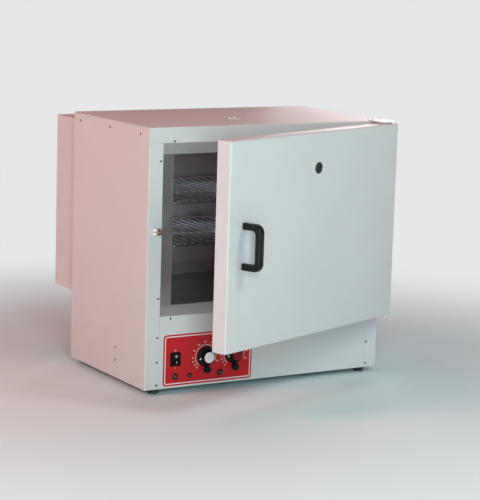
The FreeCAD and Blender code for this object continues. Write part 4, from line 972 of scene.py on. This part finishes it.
@dataclass
class Dial:
    """One dial: knob, bright cap, pointer, printed scale and the thumbscrew of its lock."""

    palette: Palette
    name: str
    body: Body
    lock_body: Body
    cap: Finish
    grip_radius: float = 13.0 * MM
    grip_flutes: int = 36
    grip_steps: int = 288
    skirt_height: float = 3.0 * MM
    flute_depth: float = 0.7 * MM
    edge: float = 0.7 * MM
    pointer_angle: float = -107.0
    pointer_reach: Point = (14.2 * MM, 19.6 * MM)
    pointer_width: float = 5.2 * MM
    scale_radius: float = 25.6 * MM
    scale_line: float = 0.8 * MM
    scale_steps: int = 96
    tick: float = 2.4 * MM
    tick_line: float = 0.7 * MM
    figure_radius: float = 32.6 * MM
    figure_height: float = 4.6 * MM
    first_angle: float = -137.5
    per_ten: float = 14.8
    figures: tuple[int, ...] = (30, 40, 50, 60, 80, 100, 120, 140, 160, 180, 200)
    head_flutes: int = 24
    head_steps: int = 192
    head_length: float = 7.0 * MM
    shank_radius: float = 2.0 * MM
    shank_edge: float = 0.5 * MM

    def dress(self) -> None:
        """Paint the cap and the spindle."""
        paint_nodes(self.cap, f"{self.name}_knob_cap")
        paint_nodes(self.palette.pin_steel, f"{self.name}_spindle")

    def knob(self) -> None:
        """Round skirt and fluted grip, in place of the plain knob."""
        node = f"{self.name}_knob"
        low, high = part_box(node)
        skirt = (high.x - low.x) / 2
        step = high.y - self.skirt_height
        tip = low.y
        e = self.edge
        grip = self.grip_radius
        skirt_rings = [Ring(skirt - e, high.y), Ring(skirt, high.y - e), Ring(skirt, step + e),
                       Ring(skirt - e * 0.3, step + e * 0.3), Ring(skirt - e, step)]
        grip_rings = [Ring(grip + e, step), Ring(grip, step - e * 0.5),
                      Ring(grip, step - e * 1.5, self.flute_depth),
                      Ring(grip, tip + e * 2, self.flute_depth),
                      Ring(grip - e * 0.2, tip + e), Ring(grip - e, tip)]
        form = turned_form(middle(node), skirt_rings + grip_rings, self.grip_flutes,
                           self.grip_steps)
        piece = place_piece(f"{self.name}_grip", form, self.palette.black_plastic, self.body)
        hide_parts(node)
        self.pointer(middle(node), step)

    def pointer(self, centre: Vector, face: float) -> None:
        """White triangle on the skirt.

        Args:
            centre: The middle of the knob.
            face: The place of the skirt's front.
        """
        turn = math.radians(self.pointer_angle)
        out = Vector((math.sin(turn), math.cos(turn)))
        side = Vector((out.y, -out.x)) * self.pointer_width / 2
        heart = Vector((centre.x, centre.z))
        foot, tip = (heart + out * reach for reach in self.pointer_reach)
        corners = (foot - side, tip, foot + side)
        sheet = Print(face)
        sheet.patch([tuple(corner) for corner in corners])
        place_piece(f"{self.name}_pointer", sheet.form, self.palette.white_ink, self.body)

    def scale(self, sheet: Print) -> None:
        """Print the dial's ring, ticks and numbers.

        Args:
            sheet: The label's print.
        """
        centre_point = middle(f"{self.name}_spindle")
        centre = (centre_point.x, centre_point.z)
        last_angle = self.first_angle + (self.figures[-1] - self.figures[0]) / 10 * self.per_ten
        inner, outer = (self.scale_radius + hand * self.scale_line / 2 for hand in (-1, 1))
        outlines = [arc_points(centre, radius, self.first_angle, last_angle, self.scale_steps)
                    for radius in (outer, inner)]
        sheet.band(*outlines, closed=False)
        for value in range(self.figures[0], self.figures[-1] + 1, 10):
            angle = self.first_angle + (value - self.figures[0]) / 10 * self.per_ten
            sheet.bar(centre, angle, outer, self.scale_radius + self.tick, self.tick_line)
            if value in self.figures:
                place = arc_points(centre, self.figure_radius, angle, angle, 1)[0]
                sheet.figure(str(value), place, self.figure_height)

    def thumbscrew(self) -> None:
        """Knurled head and shank, in place of the plain lock screw."""
        node = f"{self.name}_lock_screw"
        low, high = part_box(node)
        head = (high.x - low.x) / 2
        seat = low.y + self.head_length
        e = self.edge
        shank = self.shank_radius
        shank_rings = [Ring(shank - self.shank_edge, high.y), Ring(shank, high.y - self.shank_edge),
                       Ring(shank, seat)]
        head_rings = [Ring(head - e, seat), Ring(head, seat - e), Ring(head, seat - e * 1.4, e * 0.9),
                      Ring(head, low.y + e * 1.6, e * 0.9), Ring(head, low.y + e), Ring(head - e, low.y),
                      Ring(head * 0.5, low.y), Ring(head * 0.42, low.y + e * 0.6)]
        form = turned_form(middle(node), shank_rings + head_rings, self.head_flutes, self.head_steps)
        piece = place_piece(f"{self.name}_thumbscrew", form, self.palette.black_plastic,
                            self.lock_body)
        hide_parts(node)


@dataclass
class RockerSwitch:
    """Rocker switch with its on and off marks."""

    palette: Palette
    tilt: float = -7.0
    face_slope: float = 10.6
    mark_height: float = 5.0 * MM
    mark_line: float = 1.0 * MM
    mark_place: float = 6.4 * MM
    mark_reach: float = 5.75 * MM

    def dress(self) -> None:
        """Paint the housing and the rocker."""
        paint_nodes(self.palette.black_plastic, "switch_body")
        paint_nodes(self.palette.rocker_plastic, "switch_rocker")

    def marks(self) -> None:
        """A ring on the rocker's upper face and a bar on its lower one."""
        low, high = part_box("switch_body")
        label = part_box("control_label")[0].y
        centre = Vector(((low.x + high.x) / 2, label, (low.z + high.z) / 2))
        form = bmesh.new()
        for hand in (1, -1):
            sheet = Print(0.0)
            if hand == -1:
                sheet.bar((0.0, 0.0), 0.0, -self.mark_height / 2, self.mark_height / 2, self.mark_line)
            else:
                radius = self.mark_height / 2
                sheet.band(ring_points((0.0, 0.0), radius),
                           ring_points((0.0, 0.0), radius - self.mark_line))
            slope = Matrix.Rotation(math.radians(hand * self.face_slope), 4, "X")
            place = Matrix.Translation((0.0, -self.mark_reach, hand * self.mark_place))
            turn = Matrix.Rotation(math.radians(self.tilt), 4, "X")
            bmesh.ops.transform(sheet.form, matrix=Matrix.Translation(centre) @ turn @ place @ slope,
                                verts=sheet.form.verts)
            join_forms(form, sheet.form)
        place_piece("rocker_marks", form, self.palette.white_ink, Body.ROCKER)


@dataclass
class ControlPanel:
    """Red label with its print, two dials, the rocker switch and three lamps."""

    palette: Palette
    border_inset: float = 3.6 * MM
    border_line: float = 2.0 * MM
    corner: float = 8.0 * MM
    corner_ease: float = 0.5 * MM
    switch_mark_gap: float = 4.2 * MM
    switch_mark_reach: float = 1.7 * MM
    switch_mark_line: float = 0.7 * MM
    lens_colours: tuple[tuple[str, Colour], ...] = (("lamp_green", (0.006, 0.035, 0.016)),
                                                    ("lamp_amber", (0.07, 0.016, 0.006)),
                                                    ("lamp_red", (0.025, 0.004, 0.006)))

    def dials(self) -> tuple[Dial, Dial]:
        """The thermostat's dial with a bright cap, and the limit's with a red one.

        Returns:
            Both dials.
        """
        bright = TurnedMetal("turned_cap", (0.96, 0.97, 0.98), tuple(middle("thermostat_knob_cap")),
                             pitch=1.1 * MM, metallic=0.0)
        return (Dial(self.palette, "thermostat", Body.THERMOSTAT_DIAL, Body.THERMOSTAT_LOCK, bright),
                Dial(self.palette, "limit", Body.LIMIT_DIAL, Body.LIMIT_LOCK, self.palette.red_plastic))

    def dress(self) -> None:
        """Paint the label, the lamps and the dials' fixed parts."""
        p = self.palette
        paint_nodes(p.label_red, "control_label")
        paint_nodes(p.lamp_rim, "lamp_bezels")
        paint_nodes(p.black_plastic, "dial_lock_plates")
        paint_nodes(p.zinc, "thermostat_bodies")
        for node, colour in self.lens_colours:
            low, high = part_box(node)
            lens = LampLens(f"{node}_lens", colour, tuple(middle(node)), (high.x - low.x) / 2)
            paint_nodes(lens, node)

    def print_label(self) -> None:
        """White border, dial scales and switch marks on the label."""
        low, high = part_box("control_label")
        sheet = Print(low.y)
        outlines = []
        for inset in (self.border_inset, self.border_inset + self.border_line):
            outlines.append(round_corners(low.x + inset, high.x - inset, low.z + inset, high.z - inset,
                                          self.corner - inset + self.corner_ease))
        sheet.band(*outlines)
        for dial in self.dials():
            dial.scale(sheet)
        switch_low, switch_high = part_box("switch_body")
        x = (switch_low.x + switch_high.x) / 2
        above, below = switch_high.z + self.switch_mark_gap, switch_low.z - self.switch_mark_gap
        reach, line = self.switch_mark_reach, self.switch_mark_line
        sheet.bar((x, below), 0.0, -reach, reach, line)
        sheet.band(ring_points((x, above), reach), ring_points((x, above), reach - line))
        place_piece("label_print", sheet.form, self.palette.white_ink, Body.CASE)

    def build(self) -> None:
        """Make the panel's own pieces."""
        self.print_label()
        for dial in self.dials():
            dial.dress()
            dial.knob()
            dial.thumbscrew()
        switch = RockerSwitch(self.palette)
        switch.dress()
        switch.marks()


@dataclass
class TopVent:
    """Turning damper on the lid."""

    palette: Palette

    def dress(self) -> None:
        """Paint the disc and its screw."""
        paint_nodes(self.palette.case_paint, "vent_damper")
        paint_nodes(self.palette.hinge_paint, "vent_screw")


@dataclass(frozen=True)
class Lamp:
    """A soft round lamp that faces the oven."""

    name: str
    place: Triple
    size: float
    power: float
    colour: Colour


@dataclass
class Studio:
    """Pale floor, soft light and the camera at the photograph's angle."""

    azimuth: float = -31.03
    elevation: float = 9.52
    roll: float = 1.72
    distance: float = 4.1644
    target: Triple = (-0.0722, -0.182, 0.3072)
    lens: float = 136.6
    sensor_width: float = 36.0
    sight: float = 100.0
    floor_radius: float = 30.0
    floor_colour: Colour = (0.67, 0.84, 0.86)
    backdrop: Colour = (0.79, 0.8, 0.81)
    fade_start: float = 0.45
    fade_end: float = 1.6
    sky: Colour = (0.96, 0.97, 1.0)
    sky_strength: float = 0.07
    gloss_strength: float = 0.2
    aim: Triple = (0.0, 0.0, 0.3)
    lamps: tuple[Lamp, ...] = (
        Lamp("front_right_key", (0.5, -1.45, 1.55), 0.45, 8.4, (1.0, 0.98, 0.95)),
        Lamp("front_left_high", (-1.1, -2.6, 1.35), 0.9, 22.5, (0.82, 0.98, 1.0)),
        Lamp("front_left_low", (-1.2, -2.7, 0.5), 0.9, 23.0, (0.84, 0.98, 1.0)),
        Lamp("left_warm", (-2.25, 0.1, 1.45), 0.9, 30.0, (1.0, 0.47, 0.41)),
        Lamp("top_warm", (-0.1, 0.15, 2.5), 0.8, 9.0, (1.0, 0.2, 0.22)),
        Lamp("back_right_fill", (1.9, 1.9, 0.55), 1.2, 22.0, (1.0, 1.0, 1.0)))

    def floor(self) -> None:
        """A wide pale floor that turns into the backdrop away from the oven."""
        form = bmesh.new()
        bmesh.ops.create_circle(form, cap_ends=True, segments=96, radius=self.floor_radius)
        mesh = bpy.data.meshes.new("floor")
        form.to_mesh(mesh)
        form.free()
        graph = Graph(bpy.data.materials.new("pale_floor"))
        haze = graph.noise(1.5)
        base = graph.blend(haze, self.floor_colour, tone(self.floor_colour, 0.98))
        lit = graph.add("ShaderNodeBsdfPrincipled", {}, {"Base Color": base, "Roughness": 0.9})
        plain = graph.add("ShaderNodeEmission", {}, {"Color": self.backdrop, "Strength": 1.0})
        seen = sum(graph.add("ShaderNodeLightPath", output=ray)
                   for ray in ("Is Camera Ray", "Is Glossy Ray", "Is Transmission Ray"))
        far = graph.distance(Vector((0.0, 0.0, 0.0)), Axis.Z).between(self.fade_start, self.fade_end)
        graph.finish(graph.add("ShaderNodeMixShader", {}, {0: seen * far, 1: lit, 2: plain}))
        mesh.materials.append(graph.owner)
        floor = bpy.data.objects.new("floor", mesh)
        bpy.context.scene.collection.objects.link(floor)

    def world(self) -> None:
        """Soft sky light, with a pale backdrop for the camera and for reflections."""
        world = bpy.data.worlds.new("studio")
        bpy.context.scene.world = world
        graph = Graph(world)
        seen = graph.add("ShaderNodeLightPath", output="Is Camera Ray")
        mirrored = graph.add("ShaderNodeLightPath", output="Is Glossy Ray")
        light, gloss = (graph.add("ShaderNodeBackground", {}, {"Color": self.sky, "Strength": strength})
                        for strength in (self.sky_strength, self.gloss_strength))
        backdrop = graph.add("ShaderNodeBackground", {}, {"Color": self.backdrop, "Strength": 1.0})
        around = graph.add("ShaderNodeMixShader", {}, {0: mirrored, 1: light, 2: gloss})
        graph.finish(graph.add("ShaderNodeMixShader", {}, {0: seen, 1: around, 2: backdrop}))

    def lights(self) -> None:
        """Soft lamps that face the oven."""
        for lamp in self.lamps:
            light = bpy.data.lights.new(lamp.name, "AREA")
            light.shape = "DISK"
            light.size = lamp.size
            light.energy = lamp.power
            light.color = lamp.colour
            holder = bpy.data.objects.new(lamp.name, light)
            holder.location = lamp.place
            sight = Vector(self.aim) - Vector(lamp.place)
            holder.rotation_euler = sight.to_track_quat("-Z", "Y").to_euler()
            bpy.context.scene.collection.objects.link(holder)

    def camera(self) -> None:
        """The camera, with the photograph's slight roll."""
        a, e, r = (math.radians(angle) for angle in (self.azimuth, self.elevation, self.roll))
        back = Vector((math.sin(a) * math.cos(e), -math.cos(a) * math.cos(e), math.sin(e)))
        right = Vector((math.cos(a), math.sin(a), 0.0))
        up = back.cross(right)
        across = right * math.cos(r) + up * math.sin(r)
        over = up * math.cos(r) - right * math.sin(r)
        rolled = Matrix((across, over, back))
        data = bpy.data.cameras.new("camera")
        data.lens = self.lens
        data.sensor_width = self.sensor_width
        data.clip_end = self.sight
        camera = bpy.data.objects.new("camera", data)
        place = Matrix.Translation(Vector(self.target) + back * self.distance)
        camera.matrix_world = place @ rolled.transposed().to_4x4()
        bpy.context.scene.collection.objects.link(camera)
        bpy.context.scene.camera = camera

    def build(self) -> None:
        """Set up the studio."""
        bpy.context.scene.view_settings.view_transform = "Standard"
        self.floor()
        self.world()
        self.lights()
        self.camera()


def main() -> None:
    """Dress the frame, add the oven's own pieces and set up the studio."""
    logging.basicConfig(level=logging.INFO, format="%(message)s")
    palette = Palette()
    CaseWork(palette).dress()
    chamber = Chamber(palette)
    chamber.dress()
    chamber.baffle_screws()
    Door(palette).dress()
    panel = ControlPanel(palette)
    panel.dress()
    panel.build()
    TopVent(palette).dress()
    Studio().build()


if __name__ == "__main__":
    main()
